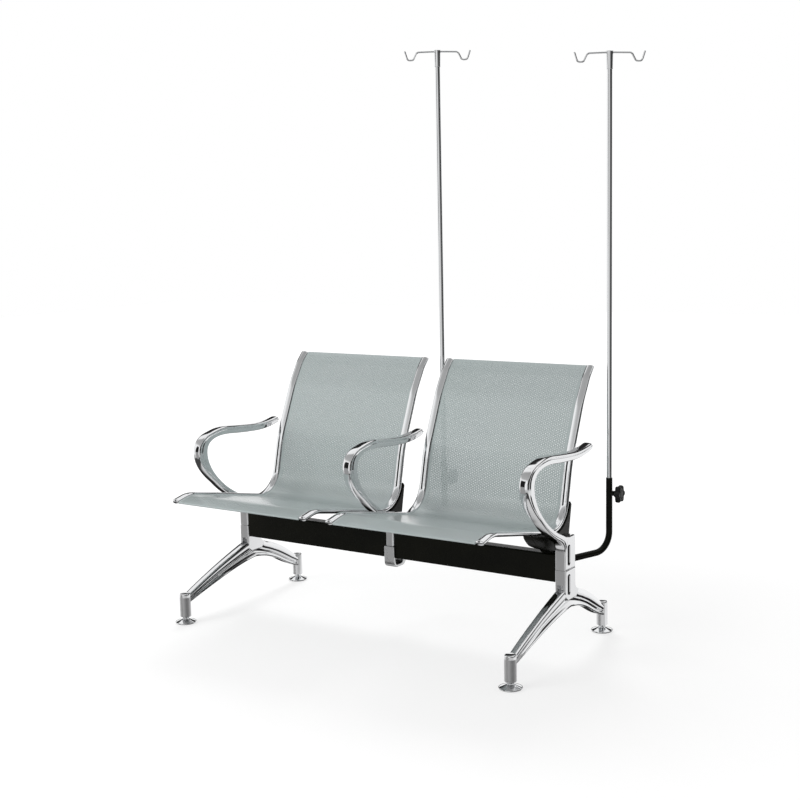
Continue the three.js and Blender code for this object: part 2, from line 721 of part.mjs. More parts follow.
function beamWithHoles() {
  let body = beam().translate([0, 0, BEAM_MID_Z]);
  const hole = CLAMP_BOLT_RADIUS + 2 * GAP;
  for (const seatX of [-SEAT_MID_X, SEAT_MID_X]) {
    for (const railX of [seatX - RAIL_SPACING / 2, seatX + RAIL_SPACING / 2]) {
      body = body.subtract(bar([railX, 0, BEAM_TOP_Z - 5], [railX, 0, BEAM_TOP_Z + 5], hole));
    }
  }
  for (const x of [-PITCH, PITCH]) {
    const from = [x, BEAM_SCREW_Y, BEAM_BOTTOM_Z - 5];
    body = body.subtract(bar(from, [x, BEAM_SCREW_Y, BEAM_BOTTOM_Z + 5], hole));
  }
  for (const armX of [0, PITCH]) {
    const x = armX + SLEEVE_ROOT_FROM_ARM_X;
    for (const z of FLANGE_SCREW_Z) {
      body = body.subtract(bar([x, 10, z], [x, 30, z], hole));
    }
  }
  return body;
}

place('cross_beam', beamWithHoles(), blackPaint);

for (const [end, side] of Object.entries(ENDS)) {
  place(`leg_frame_${end}`, leg(side), casting, [side * PITCH, 0, 0]);
  const screw = capScrew(CLAMP_BOLT_RADIUS, BEAM_SCREW_LENGTH);
  place(`beam_screw_${end}`, screw, zincSteel, [side * PITCH, BEAM_SCREW_Y, BEAM_SCREW_FOOT_Z]);
  for (const [row, y] of [['front', FOOT_FRONT_Y], ['rear', FOOT_REAR_Y]]) {
    place(`foot_pad_${row}_${end}`, footPad(), blackRubber, [side * PITCH, y, 0]);
    place(`levelling_foot_${row}_${end}`, levellingFoot(), chrome, [side * PITCH, y, 0]);
  }
}

for (const [where, side] of Object.entries({ left: -1, middle: 0, right: 1 })) {
  place(`armrest_${where}`, armrest(side), casting, [side * PITCH, 0, 0]);
  const bolt = capScrew(CLAMP_BOLT_RADIUS, CLAMP_BOLT_LENGTH);
  place(`clamp_bolt_${where}`, bolt, zincSteel, [side * PITCH, CLAMP_BOLT_Y, CLAMP_BOLT_FOOT_Z]);
}
place('middle_strap', middleStrap(), casting);

for (const [seat, side] of Object.entries(ENDS)) {
  const seatX = side * SEAT_MID_X;
  place(`seat_panel_${seat}`, seatPanel(), seatPaint, [seatX, 0, 0]);
  for (const [edge, edgeSide] of [['a', -1], ['b', 1]]) {
    const at = [seatX + (edgeSide * RAIL_SPACING) / 2, 0, 0];
    place(`seat_rail_${seat}_${edge}`, seatRail(), chrome, at);
    place(`seat_bracket_${seat}_${edge}`, seatBracket(), blackPaint, at);
    const screw = capScrew(CLAMP_BOLT_RADIUS, BRACKET_SCREW_LENGTH).rotate([180, 0, 0]);
    const headTop = BRACKET_FOOT_Z + 1.8 * BRACKET_WALL + GAP + SCREW_HEAD_HEIGHT;
    place(`bracket_screw_${seat}_${edge}`, screw, zincSteel, [at[0], 0, headTop]);
  }
}

for (const [index, armX] of [0, PITCH].entries()) {
  const end = index === 0 ? 'left' : 'right';
  const poleX = armX + POLE_FROM_ARM_X;
  place(`pole_sleeve_${end}`, sleeve(), blackPaint, [poleX, 0, 0]);
  place(`sleeve_nut_${end}`, weldNut(), blackPaint, [poleX, 0, 0]);
  place(`clamp_pad_${end}`, clampPad(), greyPlastic, [poleX, 0, 0]);
  place(`clamp_knob_${end}`, knob(), blackPlastic, [poleX, 0, 0]);
  for (const [row, z] of FLANGE_SCREW_Z.entries()) {
    const screw = capScrew(CLAMP_BOLT_RADIUS, FLANGE_SCREW_LENGTH).rotate([90, 0, 0]);
    const headY = FLANGE_REAR_Y + GAP + SCREW_HEAD_HEIGHT;
    const name = `flange_screw_${end}_${row === 0 ? 'low' : 'high'}`;
    place(name, screw, zincSteel, [armX + SLEEVE_ROOT_FROM_ARM_X, headY, z]);
  }
  const at = [poleX, POLE_Y, POLE_BOTTOM_Z[index]];
  place(`drip_pole_${end}`, pole(), chrome, at);
  place(`pole_plug_${end}`, polePlug(), greyPlastic, at);
  place(`pole_cap_${end}`, poleCap(), chrome, at);
  place(`hook_bar_${end}`, hookBar(), chrome, at);
}

bench.updateMatrixWorld(true);
const extent = new THREE.Box3().setFromObject(bench, true);
const middle = extent.getCenter(new THREE.Vector3());
bench.position.set(-middle.x, -middle.y, -extent.min.z);

export default bench;
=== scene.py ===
# The looks of a two-place infusion bench with two drip poles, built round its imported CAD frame.
# Blender works in metres.  The bench is drawn here in millimetres from its own datum: x = 0 is
# the middle armrest, y = 0 the beam's centre plane and z = 0 the floor.  The sitter faces -y.

import math

import bmesh
import bpy
import numpy as np
from mathutils import Matrix, Vector


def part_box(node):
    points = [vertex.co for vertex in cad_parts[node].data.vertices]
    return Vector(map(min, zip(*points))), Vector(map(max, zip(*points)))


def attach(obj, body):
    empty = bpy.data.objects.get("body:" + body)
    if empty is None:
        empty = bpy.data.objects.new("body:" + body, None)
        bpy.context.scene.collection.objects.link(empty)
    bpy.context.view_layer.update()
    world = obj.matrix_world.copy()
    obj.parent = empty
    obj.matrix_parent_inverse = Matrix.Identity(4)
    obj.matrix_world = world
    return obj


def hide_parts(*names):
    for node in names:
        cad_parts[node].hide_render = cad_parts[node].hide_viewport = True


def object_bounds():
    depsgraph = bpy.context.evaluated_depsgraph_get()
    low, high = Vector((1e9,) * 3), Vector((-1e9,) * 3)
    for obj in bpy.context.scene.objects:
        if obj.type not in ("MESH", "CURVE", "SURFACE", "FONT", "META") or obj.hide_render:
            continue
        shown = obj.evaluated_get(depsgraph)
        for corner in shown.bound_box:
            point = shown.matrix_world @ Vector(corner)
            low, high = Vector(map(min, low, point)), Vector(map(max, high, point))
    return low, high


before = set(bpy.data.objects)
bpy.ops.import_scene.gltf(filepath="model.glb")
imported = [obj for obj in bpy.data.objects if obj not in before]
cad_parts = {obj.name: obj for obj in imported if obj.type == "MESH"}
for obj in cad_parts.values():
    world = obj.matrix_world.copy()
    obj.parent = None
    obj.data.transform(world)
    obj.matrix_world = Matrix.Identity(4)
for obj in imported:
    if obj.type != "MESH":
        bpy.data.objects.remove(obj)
cad_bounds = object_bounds()

MM = 0.001


def middle_in_frame(node):
    return (np.array(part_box(node)[0]) + np.array(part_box(node)[1])) / 2 / MM


DATUM = np.array([
    middle_in_frame("armrest_middle")[0],
    middle_in_frame("cross_beam")[1],
    cad_bounds[0][2] / MM,
])


def low_of(node):
    """The low corner of a CAD node's box, in bench millimetres."""
    return np.array(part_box(node)[0]) / MM - DATUM


def high_of(node):
    return np.array(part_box(node)[1]) / MM - DATUM


def centre_of(node):
    return (low_of(node) + high_of(node)) / 2


# ---- sizes, from the frame

ENDS = {"left": -1, "right": 1}
PITCH = centre_of("armrest_right")[0]
SEAM_Z = (high_of("leg_frame_right")[2] + low_of("armrest_right")[2]) / 2
GAP = low_of("armrest_right")[2] - SEAM_Z
BEAM_LOW = low_of("cross_beam")
BEAM_HIGH = high_of("cross_beam")
BEAM_CORNER = 5
BEAM_WALL = 2
FOOT_Y = {row: centre_of(f"levelling_foot_{row}_left")[1] for row in ("front", "rear")}
COLUMN_HALF = 17
COLUMN_FRONT_Y = -24
COLUMN_REAR_Y = 38
COLUMN_TOP_Z = 342
SLOT_Y = (-13, 5)
SLOT_DEPTH = 4
LOWER_SLOT_Z = (176, 236)
UPPER_SLOT_Z = (260, 320)
RAIL_WIDTH = 26
RAIL_HEIGHT = 15
RAIL_DOME = 4
RAIL_X = [centre_of(f"seat_rail_right_{edge}")[0] for edge in "ab"]
SEAT_MID_X = sum(RAIL_X) / 2
RAIL_SPACING = RAIL_X[1] - RAIL_X[0]
SHEET = 2
POLE_RADIUS = 8
POLE_Y = centre_of("drip_pole_right")[1]
SCREW_HEAD_RADIUS = 6.5
SCREW_HEAD_HEIGHT = 6
SCREW_RADIUS = 3.6
SCREW_HOLE_RADIUS = SCREW_RADIUS + 2 * GAP

# ---- meshes


def linked(name, data):
    """A new object in the scene."""
    thing = bpy.data.objects.new(name, data)
    bpy.context.scene.collection.objects.link(thing)
    return thing


def mesh_from(bm, name):
    mesh = bpy.data.meshes.new(name)
    bm.to_mesh(mesh)
    bm.free()
    return mesh


def piece(name, bm, material, body, *replaced, sharp=32, weighted=True):
    """A finished object from a bmesh in bench millimetres, which rides on a body."""
    bmesh.ops.remove_doubles(bm, verts=bm.verts, dist=0.005)
    bmesh.ops.recalc_face_normals(bm, faces=bm.faces)
    limit = math.radians(sharp)
    for face in bm.faces:
        face.smooth = True
    for edge in bm.edges:
        edge.smooth = len(edge.link_faces) == 2 and edge.calc_face_angle(0) < limit
    bmesh.ops.transform(bm, matrix=Matrix.Translation(DATUM * MM) @ Matrix.Scale(MM, 4), verts=bm.verts)
    mesh = mesh_from(bm, name)
    mesh.materials.append(material)
    thing = linked(name, mesh)
    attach(thing, body)
    if replaced:
        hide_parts(*replaced)
    if weighted:
        modifier = thing.modifiers.new("weighted", "WEIGHTED_NORMAL")
        modifier.keep_sharp = True


def rings_to_bmesh(rings, closed=False):
    """Rings of equal point counts joined into a skin, with flat ends unless it is closed."""
    bm = bmesh.new()
    rows = [[bm.verts.new(point) for point in ring] for ring in rings]
    count = len(rows[0])
    pairs = list(zip(rows, rows[1:]))
    if closed:
        pairs.append((rows[-1], rows[0]))
    for lower, upper in pairs:
        for i in range(count):
            j = (i + 1) % count
            bm.faces.new((lower[i], lower[j], upper[j], upper[i]))
    if not closed:
        bm.faces.new(rows[0])
        bm.faces.new(rows[-1][::-1])
    return bm


def joined(*parts):
    bm = bmesh.new()
    for part in parts:
        mesh = mesh_from(part, "part")
        bm.from_mesh(mesh)
        bpy.data.meshes.remove(mesh)
    return bm


def moved(bm, x=0, y=0, z=0):
    bmesh.ops.translate(bm, vec=(x, y, z), verts=bm.verts)
    return bm


def turned_about(bm, axis, degrees):
    matrix = Matrix.Rotation(math.radians(degrees), 3, axis)
    bmesh.ops.rotate(bm, matrix=matrix, verts=bm.verts)
    return bm


def boolean(operation, base, *others):
    """Joins closed solids to base, or cuts them from it."""
    scratch = []

    def as_object(bm):
        bmesh.ops.recalc_face_normals(bm, faces=bm.faces)
        scratch.append(linked("scratch", mesh_from(bm, "scratch")))
        return scratch[-1]

    main = as_object(base)
    for other in others:
        modifier = main.modifiers.new("cut", "BOOLEAN")
        modifier.operation = operation
        modifier.solver = "EXACT"
        modifier.object = as_object(other)
    bpy.context.view_layer.update()
    result = main.evaluated_get(bpy.context.evaluated_depsgraph_get())
    bm = bmesh.new()
    bm.from_mesh(result.to_mesh())
    result.to_mesh_clear()
    for thing in scratch:
        bpy.data.objects.remove(thing)
    return bm


def union(base, *others):
    return boolean("UNION", base, *others)


def cut(base, *others):
    return boolean("DIFFERENCE", base, *others)


def turns(count):
    """Evenly spaced angles once round."""
    return np.arange(count) * 2 * math.pi / count


def polar(radius, turn):
    """Flat points from distances and angles round the middle."""
    return np.stack([radius * np.cos(turn), radius * np.sin(turn)], axis=1)


def circle(radius, count):
    return polar(radius, turns(count))


def hexagon(half_flats, count=36):
    """A hexagon by half its width across flats."""
    turn = turns(count)
    sixth = math.pi / 3
    return polar(half_flats / np.cos((turn % sixth) - sixth / 2), turn)


def at_x(x, shape):
    """A flat shape in (y, z) as points in space."""
    return np.column_stack([np.full(len(shape), x), shape])


def at_height(z, shape):
    """A flat shape in (x, y) as points in space."""
    return np.column_stack([shape, np.full(len(shape), z)])


def revolved(profile, sides=48, closed=False):
    """A turned piece about z from [radius, z] points.  A closed profile goes round a bore."""
    rings = [at_height(z, circle(max(radius, 0.02), sides)) for radius, z in profile]
    return rings_to_bmesh(rings, closed=closed)


def block(x0, x1, y0, y1, z0, z1, bevel=0.0, segments=2):
    bm = bmesh.new()
    bmesh.ops.create_cube(bm, size=1)
    middle = Matrix.Translation(((x0 + x1) / 2, (y0 + y1) / 2, (z0 + z1) / 2))
    size = Matrix.Diagonal((x1 - x0, y1 - y0, z1 - z0, 1))
    bmesh.ops.transform(bm, matrix=middle @ size, verts=bm.verts)
    if bevel:
        bmesh.ops.bevel(
            bm, geom=bm.edges, offset=bevel, segments=segments, profile=0.5, affect="EDGES",
        )
    return bm


def bar(start, end, radius, sides=32):
    start, end = Vector(start), Vector(end)
    axis = end - start
    turn = Vector((0, 0, 1)).rotation_difference(axis).to_matrix().to_4x4()
    bm = revolved([(radius, 0), (radius, axis.length)], sides)
    bmesh.ops.transform(bm, matrix=Matrix.Translation(start) @ turn, verts=bm.verts)
    return bm


def trace(start, *moves, steps=10):
    """An outline in (y, z): a move of two numbers is a line, of four a quadratic curve."""
    points = [np.array(start, float)]
    for move in moves:
        if len(move) == 2:
            points.append(np.array(move, float))
            continue
        here, pull, end = points[-1], np.array(move[:2], float), np.array(move[2:], float)
        for i in range(1, steps + 1):
            t = i / steps
            points.append((1 - t) ** 2 * here + 2 * t * (1 - t) * pull + t * t * end)
    return np.array(points)


def plate(outline, x0, x1, bevel=0.0, segments=3):
    """A side outline in (y, z) given a width along x, with rounded rims."""
    bm = bmesh.new()
    rims = []
    for x in (x0, x1):
        rims.append([bm.verts.new((x, y, z)) for y, z in outline])
    count = len(outline)
    bm.faces.new(rims[0])
    bm.faces.new(rims[1][::-1])
    for i in range(count):
        j = (i + 1) % count
        bm.faces.new((rims[0][i], rims[0][j], rims[1][j], rims[1][i]))
    bmesh.ops.recalc_face_normals(bm, faces=bm.faces)
    if bevel:
        rim = [edge for edge in bm.edges if abs(edge.verts[0].co.x - edge.verts[1].co.x) < 1e-6]
        bmesh.ops.bevel(
            bm, geom=rim, offset=bevel, segments=segments, profile=0.5, affect="EDGES", clamp_overlap=True,
        )
    return bm


class Route:
    """Straight stretches in the (y, z) plane or in space, joined by round bends."""

    def __init__(self, corners, degrees_per_step=3.0, longest=30.0):
        spots = [np.array(corner[:-1], float) for corner in corners]
        radii = [corner[-1] for corner in corners]
        points, tangents = [spots[0]], [unit(spots[1] - spots[0])]
        for i in range(1, len(spots) - 1):
            before, after = unit(spots[i] - spots[i - 1]), unit(spots[i + 1] - spots[i])
            angle = math.acos(np.clip(before @ after, -1, 1))
            setback = radii[i] * math.tan(angle / 2)
            side = unit(after - before * (before @ after))
            start = spots[i] - before * setback
            steps = max(2, math.ceil(math.degrees(angle) / degrees_per_step))
            for step in range(steps + 1):
                turn = angle * step / steps
                along, across = radii[i] * math.sin(turn), radii[i] * (1 - math.cos(turn))
                points.append(start + before * along + side * across)
                tangents.append(before * math.cos(turn) + side * math.sin(turn))
        points.append(spots[-1])
        tangents.append(unit(spots[-1] - spots[-2]))
        self.points, self.tangents = self._even(points, tangents, longest)
        steps = np.linalg.norm(np.diff(self.points, axis=0), axis=1)
        self.distances = np.concatenate([[0], np.cumsum(steps)])
        self.length = self.distances[-1]

    @staticmethod
    def _even(points, tangents, longest):
        """Splits long straight stretches, so that no step is longer than longest."""
        out_points, out_tangents = [points[0]], [tangents[0]]
        for a, b, tangent in zip(points, points[1:], tangents[1:]):
            count = max(1, math.ceil(np.linalg.norm(b - a) / longest))
            for i in range(1, count + 1):
                out_points.append(a + (b - a) * i / count)
                out_tangents.append(tangent if i == count else unit(b - a))
        return np.array(out_points), np.array(out_tangents)

    def at(self, distance):
        """Points and tangents at distances along the route."""
        place = np.stack([np.interp(distance, self.distances, part) for part in self.points.T], axis=-1)
        tangent = np.stack([np.interp(distance, self.distances, part) for part in self.tangents.T], axis=-1)
        return place, tangent / np.linalg.norm(tangent, axis=-1, keepdims=True)


def unit(vector):
    return vector / np.linalg.norm(vector)


def sweep(section, points, tangents, side):
    """A section of (across, up) points carried along a route.  side is its level direction."""
    rings = []
    for point, tangent in zip(points, tangents):
        across = unit(side - tangent * (side @ tangent))
        up = np.cross(across, tangent)
        rings.append(point + section[:, :1] * across + section[:, 1:] * up)
    return rings


def domed(rings, point, tangent, height, steps=6):
    """Extra rings that close one end with a dome."""
    last = rings[-1]
    extra = []
    for i in range(1, steps + 1):
        turn = math.pi / 2 * i / steps
        shrink = max(math.cos(turn), 0.03)
        extra.append(point + (last - point) * shrink + tangent * height * math.sin(turn))
    return extra


# ---- materials


class Graph:
    """Shorthand for the nodes of a material or of the world."""

    def __init__(self, tree):
        self.tree = tree

    def node(self, kind):
        return self.tree.nodes.new(kind)

    def feed(self, socket, value):
        """Links another node's output to a socket, or sets a constant on it."""
        if isinstance(value, bpy.types.NodeSocket):
            self.tree.links.new(value, socket)
        else:
            socket.default_value = value

    def math(self, operation, *values):
        node = self.node("ShaderNodeMath")
        node.operation = operation
        for socket, value in zip(node.inputs, values):
            self.feed(socket, value)
        return node.outputs["Value"]

    def product(self, result, *others):
        for other in others:
            result = self.math("MULTIPLY", result, other)
        return result

    def between(self, source, low, high, to=(0, 1), curve="LINEAR"):
        """Maps low to high on to the to values, and stays at them outside."""
        node = self.node("ShaderNodeMapRange")
        node.interpolation_type = curve
        sockets = ("Value", "From Min", "From Max", "To Min", "To Max")
        for socket, value in zip(sockets, (source, low, high, *to)):
            self.feed(node.inputs[socket], value)
        return node.outputs["Result"]

    def blend(self, factor, first, second, kind="RGBA"):
        node = self.node("ShaderNodeMix")
        node.data_type = kind
        for socket, value in (("Factor", factor), ("A", first), ("B", second)):
            self.feed(node.inputs[socket], value)
        return node.outputs["Result"]

    def ramp(self, source, stops):
        """A colour ramp through (position, colour) stops."""
        node = self.node("ShaderNodeValToRGB")
        elements = node.color_ramp.elements
        while len(elements) < len(stops):
            elements.new(0.5)
        for element, (position, colour) in zip(elements, stops):
            element.position = position
            element.color = (*colour, 1)
        self.feed(node.inputs["Fac"], source)
        return node.outputs["Color"]

    def parts(self, vector):
        """A vector's x, y and z."""
        node = self.node("ShaderNodeSeparateXYZ")
        self.feed(node.inputs["Vector"], vector)
        return node.outputs["X"], node.outputs["Y"], node.outputs["Z"]


class Shader(Graph):
    """A procedural material built round one Principled shader."""

    def __init__(self, name, colour, roughness, metallic=0.0):
        self.material = bpy.data.materials.new(name)
        self.material.use_nodes = True
        super().__init__(self.material.node_tree)
        self.principled = self.tree.nodes["Principled BSDF"]
        self.set("Base Color", (*colour, 1))
        self.set("Roughness", roughness)
        self.set("Metallic", metallic)
        self.material["slot"] = name
        self.place = self.node("ShaderNodeTexCoord").outputs["Object"]

    def set(self, socket, value):
        self.feed(self.principled.inputs[socket], value)

    def mapping(self, scale, shift=(0, 0, 0)):
        node = self.node("ShaderNodeMapping")
        self.feed(node.inputs["Vector"], self.place)
        self.feed(node.inputs["Scale"], scale)
        self.feed(node.inputs["Location"], shift)
        return node.outputs["Vector"]

    def noise(self, scale, detail=2.0, stretch=(1, 1, 1)):
        texture = self.node("ShaderNodeTexNoise")
        self.feed(texture.inputs["Scale"], scale)
        self.feed(texture.inputs["Detail"], detail)
        self.feed(texture.inputs["Vector"], self.mapping(stretch))
        return texture.outputs["Fac"]

    def roughness(self, noise, low, high):
        self.set("Roughness", self.between(noise, 0.3, 0.7, (low, high)))

    def colours(self, noise, dark, light):
        self.set("Base Color", self.ramp(noise, [(0.32, dark), (0.68, light)]))

    def bump(self, source, strength, distance):
        node = self.node("ShaderNodeBump")
        self.feed(node.inputs["Strength"], strength)
        self.feed(node.inputs["Distance"], distance)
        self.feed(node.inputs["Height"], source)
        self.set("Normal", node.outputs["Normal"])


def chrome_plate():
    shader = Shader("chrome_plate", (0.86, 0.87, 0.88), 0.06, 1.0)
    shader.roughness(shader.noise(14, 3), 0.045, 0.09)
    shader.bump(shader.noise(12, 1), 0.02, 0.001)
    return shader.material


def polished_casting():
    """Buffed aluminium, nearly a mirror, but satin on the columns' and front posts' fronts.

    The floors of the columns' slots are rough and painted near-black: painted shade in the recesses.
    """
    shader = Shader("polished_casting", (0.86, 0.865, 0.875), 0.1, 1.0)
    normal = shader.node("ShaderNodeNewGeometry").outputs["Normal"]
    x, y, z = shader.parts(shader.mapping((1 / MM, 1 / MM, 1 / MM), -DATUM))
    faces_front = shader.between(shader.parts(normal)[1], -0.93, -0.99)
    shoulder_z, post_face_z = 320, 82
    column = shader.product(faces_front, shader.between(z, shoulder_z + 5, shoulder_z - 5))
    post_face = shader.between(z, post_face_z + 1, post_face_z - 1)
    post = shader.product(post_face, shader.between(y, 0, -10))
    satin = shader.math("MAXIMUM", column, post)
    reach = shader.math("ABSOLUTE", x)
    floor_x = PITCH + COLUMN_HALF - SLOT_DEPTH
    # Painted shade: a mask over the slots' floors, which are coloured near-black below.
    slot_painted_shade = shader.product(
        shader.between(reach, floor_x - 1.2, floor_x - 0.8),
        shader.between(reach, floor_x + 1.2, floor_x + 0.8),
        shader.between(y, SLOT_Y[0] - 1, SLOT_Y[0]),
        shader.between(y, SLOT_Y[1] + 1, SLOT_Y[1]),
        shader.between(z, LOWER_SLOT_Z[0] - 1, LOWER_SLOT_Z[0]),
        shader.between(z, UPPER_SLOT_Z[1] + 1, UPPER_SLOT_Z[1]),
    )
    dull = shader.math("MAXIMUM", satin, slot_painted_shade)
    polish = shader.between(shader.noise(30, 4), -0.1, 9.0)
    shader.set("Roughness", shader.blend(dull, polish, 0.42, "FLOAT"))
    metal = shader.blend(satin, (0.86, 0.865, 0.875, 1), (0.62, 0.62, 0.625, 1))
    # The slots' floors get a near-black base colour, as painted shade.
    shader.set("Base Color", shader.blend(slot_painted_shade, metal, (0.05, 0.05, 0.05, 1)))
    shader.bump(shader.noise(45, 1), 0.05, 0.002)
    return shader.material


def satin_casting():
    """The same casting left as it was brushed."""
    shader = Shader("satin_casting", (0.72, 0.725, 0.73), 0.3, 1.0)
    shader.roughness(shader.noise(90, 3, (1, 6, 1)), 0.24, 0.36)
    shader.material["slot"] = "polished_casting"
    return shader.material


def black_paint():
    """Semi-gloss powder coat with a fine orange peel."""
    shader = Shader("black_paint", (0.004, 0.004, 0.0025), 0.3)
    shader.set("Specular IOR Level", 0.12)
    shader.colours(shader.noise(9, 3), (0.0032, 0.0034, 0.002), (0.006, 0.006, 0.0035))
    shader.roughness(shader.noise(60, 3), 0.22, 0.3)
    shader.bump(shader.noise(900, 2), 0.06, 0.0003)
    return shader.material


def seat_paint():
    """Silver-grey powder coat with a little metal flake."""
    shader = Shader("seat_paint", (0.44, 0.49, 0.49), 0.38, 0.2)
    shader.set("Coat Weight", 0.8)
    shader.set("Coat Roughness", 0.16)
    shader.colours(shader.noise(2.2, 2), (0.435, 0.495, 0.49), (0.46, 0.51, 0.513))
    shader.roughness(shader.noise(400, 2), 0.34, 0.46)
    shader.bump(shader.noise(1400, 2), 0.06, 0.0002)
    return shader.material


def black_rubber():
    shader = Shader("black_rubber", (0.016, 0.016, 0.016), 0.8)
    shader.roughness(shader.noise(120, 3), 0.7, 0.88)
    shader.bump(shader.noise(700, 3), 0.3, 0.0004)
    return shader.material


def black_plastic():
    shader = Shader("black_plastic", (0.006, 0.006, 0.006), 0.4)
    shader.set("Specular IOR Level", 0.3)
    shader.roughness(shader.noise(80, 2), 0.34, 0.46)
    shader.bump(shader.noise(1800, 2), 0.15, 0.0003)
    return shader.material


def grey_plastic():
    shader = Shader("grey_plastic", (0.05, 0.05, 0.052), 0.55)
    shader.roughness(shader.noise(90, 2), 0.48, 0.62)
    shader.bump(shader.noise(1500, 2), 0.12, 0.0003)
    return shader.material


def zinc_screw():
    shader = Shader("zinc_screw", (0.62, 0.63, 0.64), 0.28, 1.0)
    shader.colours(shader.noise(260, 3), (0.54, 0.55, 0.55), (0.68, 0.69, 0.71))
    shader.roughness(shader.noise(150, 3), 0.2, 0.36)
    shader.bump(shader.noise(800, 2), 0.08, 0.0002)
    return shader.material


CHROME = chrome_plate()
CASTING = polished_casting()
SATIN = satin_casting()
BLACK = black_paint()
SEAT = seat_paint()
RUBBER = black_rubber()
PLASTIC = black_plastic()
GREY = grey_plastic()
ZINC = zinc_screw()

# ---- camera

CAMERA_PLACE = (2176.4, -3212.3, 1225.9)  # from the datum, in millimetres
CAMERA_YAW = math.radians(33.72)
CAMERA_PITCH = math.radians(7.89)
CAMERA_ROLL = math.radians(1.19)
CAMERA_LENS = 59.22  # on a 36 mm sensor


def add_camera():
    forward = Vector((
        -math.sin(CAMERA_YAW) * math.cos(CAMERA_PITCH),
        math.cos(CAMERA_YAW) * math.cos(CAMERA_PITCH),
        -math.sin(CAMERA_PITCH),
    ))
    level = Vector((math.cos(CAMERA_YAW), math.sin(CAMERA_YAW), 0))
    down = forward.cross(level)
    right = level * math.cos(CAMERA_ROLL) + down * math.sin(CAMERA_ROLL)
    up = level * math.sin(CAMERA_ROLL) - down * math.cos(CAMERA_ROLL)
    data = bpy.data.cameras.new("camera")
    data.lens = CAMERA_LENS
    data.sensor_width = 36
    data.clip_end = 100
    camera = linked("camera", data)
    turn = Matrix((right, up, -forward)).transposed().to_4x4()
    place = Vector((DATUM + np.array(CAMERA_PLACE)) * MM)
    camera.matrix_world = Matrix.Translation(place) @ turn
    bpy.context.scene.camera = camera


add_camera()

# ---- screws


def cap_screw(length):
    """A socket-head screw standing head down, its head's foot at z = 0."""
    count = 36
    socket, socket_depth, ease = 2.4, 3.5, 0.4
    head, top = SCREW_HEAD_RADIUS, SCREW_HEAD_HEIGHT
    rings = [
        at_height(socket_depth, hexagon(socket, count)),
        at_height(ease, hexagon(socket, count)),
        at_height(0, hexagon(socket + ease, count)),
    ]
    outside = [
        (head - 1.2, 0), (head - 0.3, ease), (head, 1.2), (head, top),
        (SCREW_RADIUS, top), (SCREW_RADIUS, top + length - 1), (SCREW_RADIUS - 1, top + length),
    ]
    return rings_to_bmesh(rings + [at_height(z, circle(radius, count)) for radius, z in outside])


def add_screws():
    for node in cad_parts:
        low, high = low_of(node), high_of(node)
        middle = (low + high) / 2
        if node.startswith(("clamp_bolt", "beam_screw")):
            screw = moved(cap_screw(high[2] - low[2] - SCREW_HEAD_HEIGHT), middle[0], middle[1], low[2])
        elif node.startswith("bracket_screw"):
            screw = turned_about(cap_screw(high[2] - low[2] - SCREW_HEAD_HEIGHT), "X", 180)
            moved(screw, middle[0], middle[1], high[2])
        elif node.startswith("flange_screw"):
            screw = turned_about(cap_screw(high[1] - low[1] - SCREW_HEAD_HEIGHT), "X", 90)
            moved(screw, middle[0], high[1], middle[2])
        else:
            continue
        piece(f"fine_{node}", screw, ZINC, "frame", node)


# ---- beam


def rounded_rectangle(half_y, half_z, radius, steps=6):
    points = []
    corners = ((half_y, half_z, 0), (-half_y, half_z, 90), (-half_y, -half_z, 180), (half_y, -half_z, 270))
    for y, z, start in corners:
        centre = np.array([y - math.copysign(radius, y), z - math.copysign(radius, z)])
        for step in range(steps + 1):
            turn = math.radians(start + 90 * step / steps)
            points.append(centre + radius * np.array([math.cos(turn), math.sin(turn)]))
    return np.array(points)


def add_beam():
    """A rectangular tube with rounded corners, open inside."""
    middle_z = (BEAM_LOW[2] + BEAM_HIGH[2]) / 2
    half_y = (BEAM_HIGH[1] - BEAM_LOW[1]) / 2
    half_z = (BEAM_HIGH[2] - BEAM_LOW[2]) / 2
    outer = rounded_rectangle(half_y, half_z, BEAM_CORNER)
    inner = rounded_rectangle(half_y - BEAM_WALL, half_z - BEAM_WALL, BEAM_CORNER - BEAM_WALL)
    rings = []
    for end, shape in ((BEAM_LOW, outer), (BEAM_HIGH, outer), (BEAM_HIGH, inner), (BEAM_LOW, inner)):
        rings.append(at_x(end[0], shape + (0, middle_z)))
    piece("beam_tube", rings_to_bmesh(rings, closed=True), BLACK, "frame", "cross_beam")


# ---- seats

# (y, z, bend radius) along the middle of the rails, from the front edge to the top.
SEAT_CORNERS = [
    (-387, 400, 0),
    (-330, 412, 110),
    (77, 331, 92),
    (122, 524, 320),
    (196, 690, 240),
    (238, 757, 90),
    (268, 787, 0),
]
SEAT_ROUTE = Route(SEAT_CORNERS, degrees_per_step=3, longest=20)
HOLE_PITCH = 7.5
HOLE_RADIUS = 1.45
SHEET_MARGIN = 9
HEM_RADIUS = 3
PAN_SHARE = 0.46  # of the sheet's length, which puts the meeting line inside the main bend


def seat_surface(x, distance, lift):
    """Points on the seat: across, along the route from the front edge, and off the surface."""
    place, tangent = SEAT_ROUTE.at(distance)
    y = place[..., 0] - lift * tangent[..., 1]
    z = place[..., 1] + lift * tangent[..., 0]
    return np.stack([np.broadcast_to(x, y.shape), y, z], axis=-1)


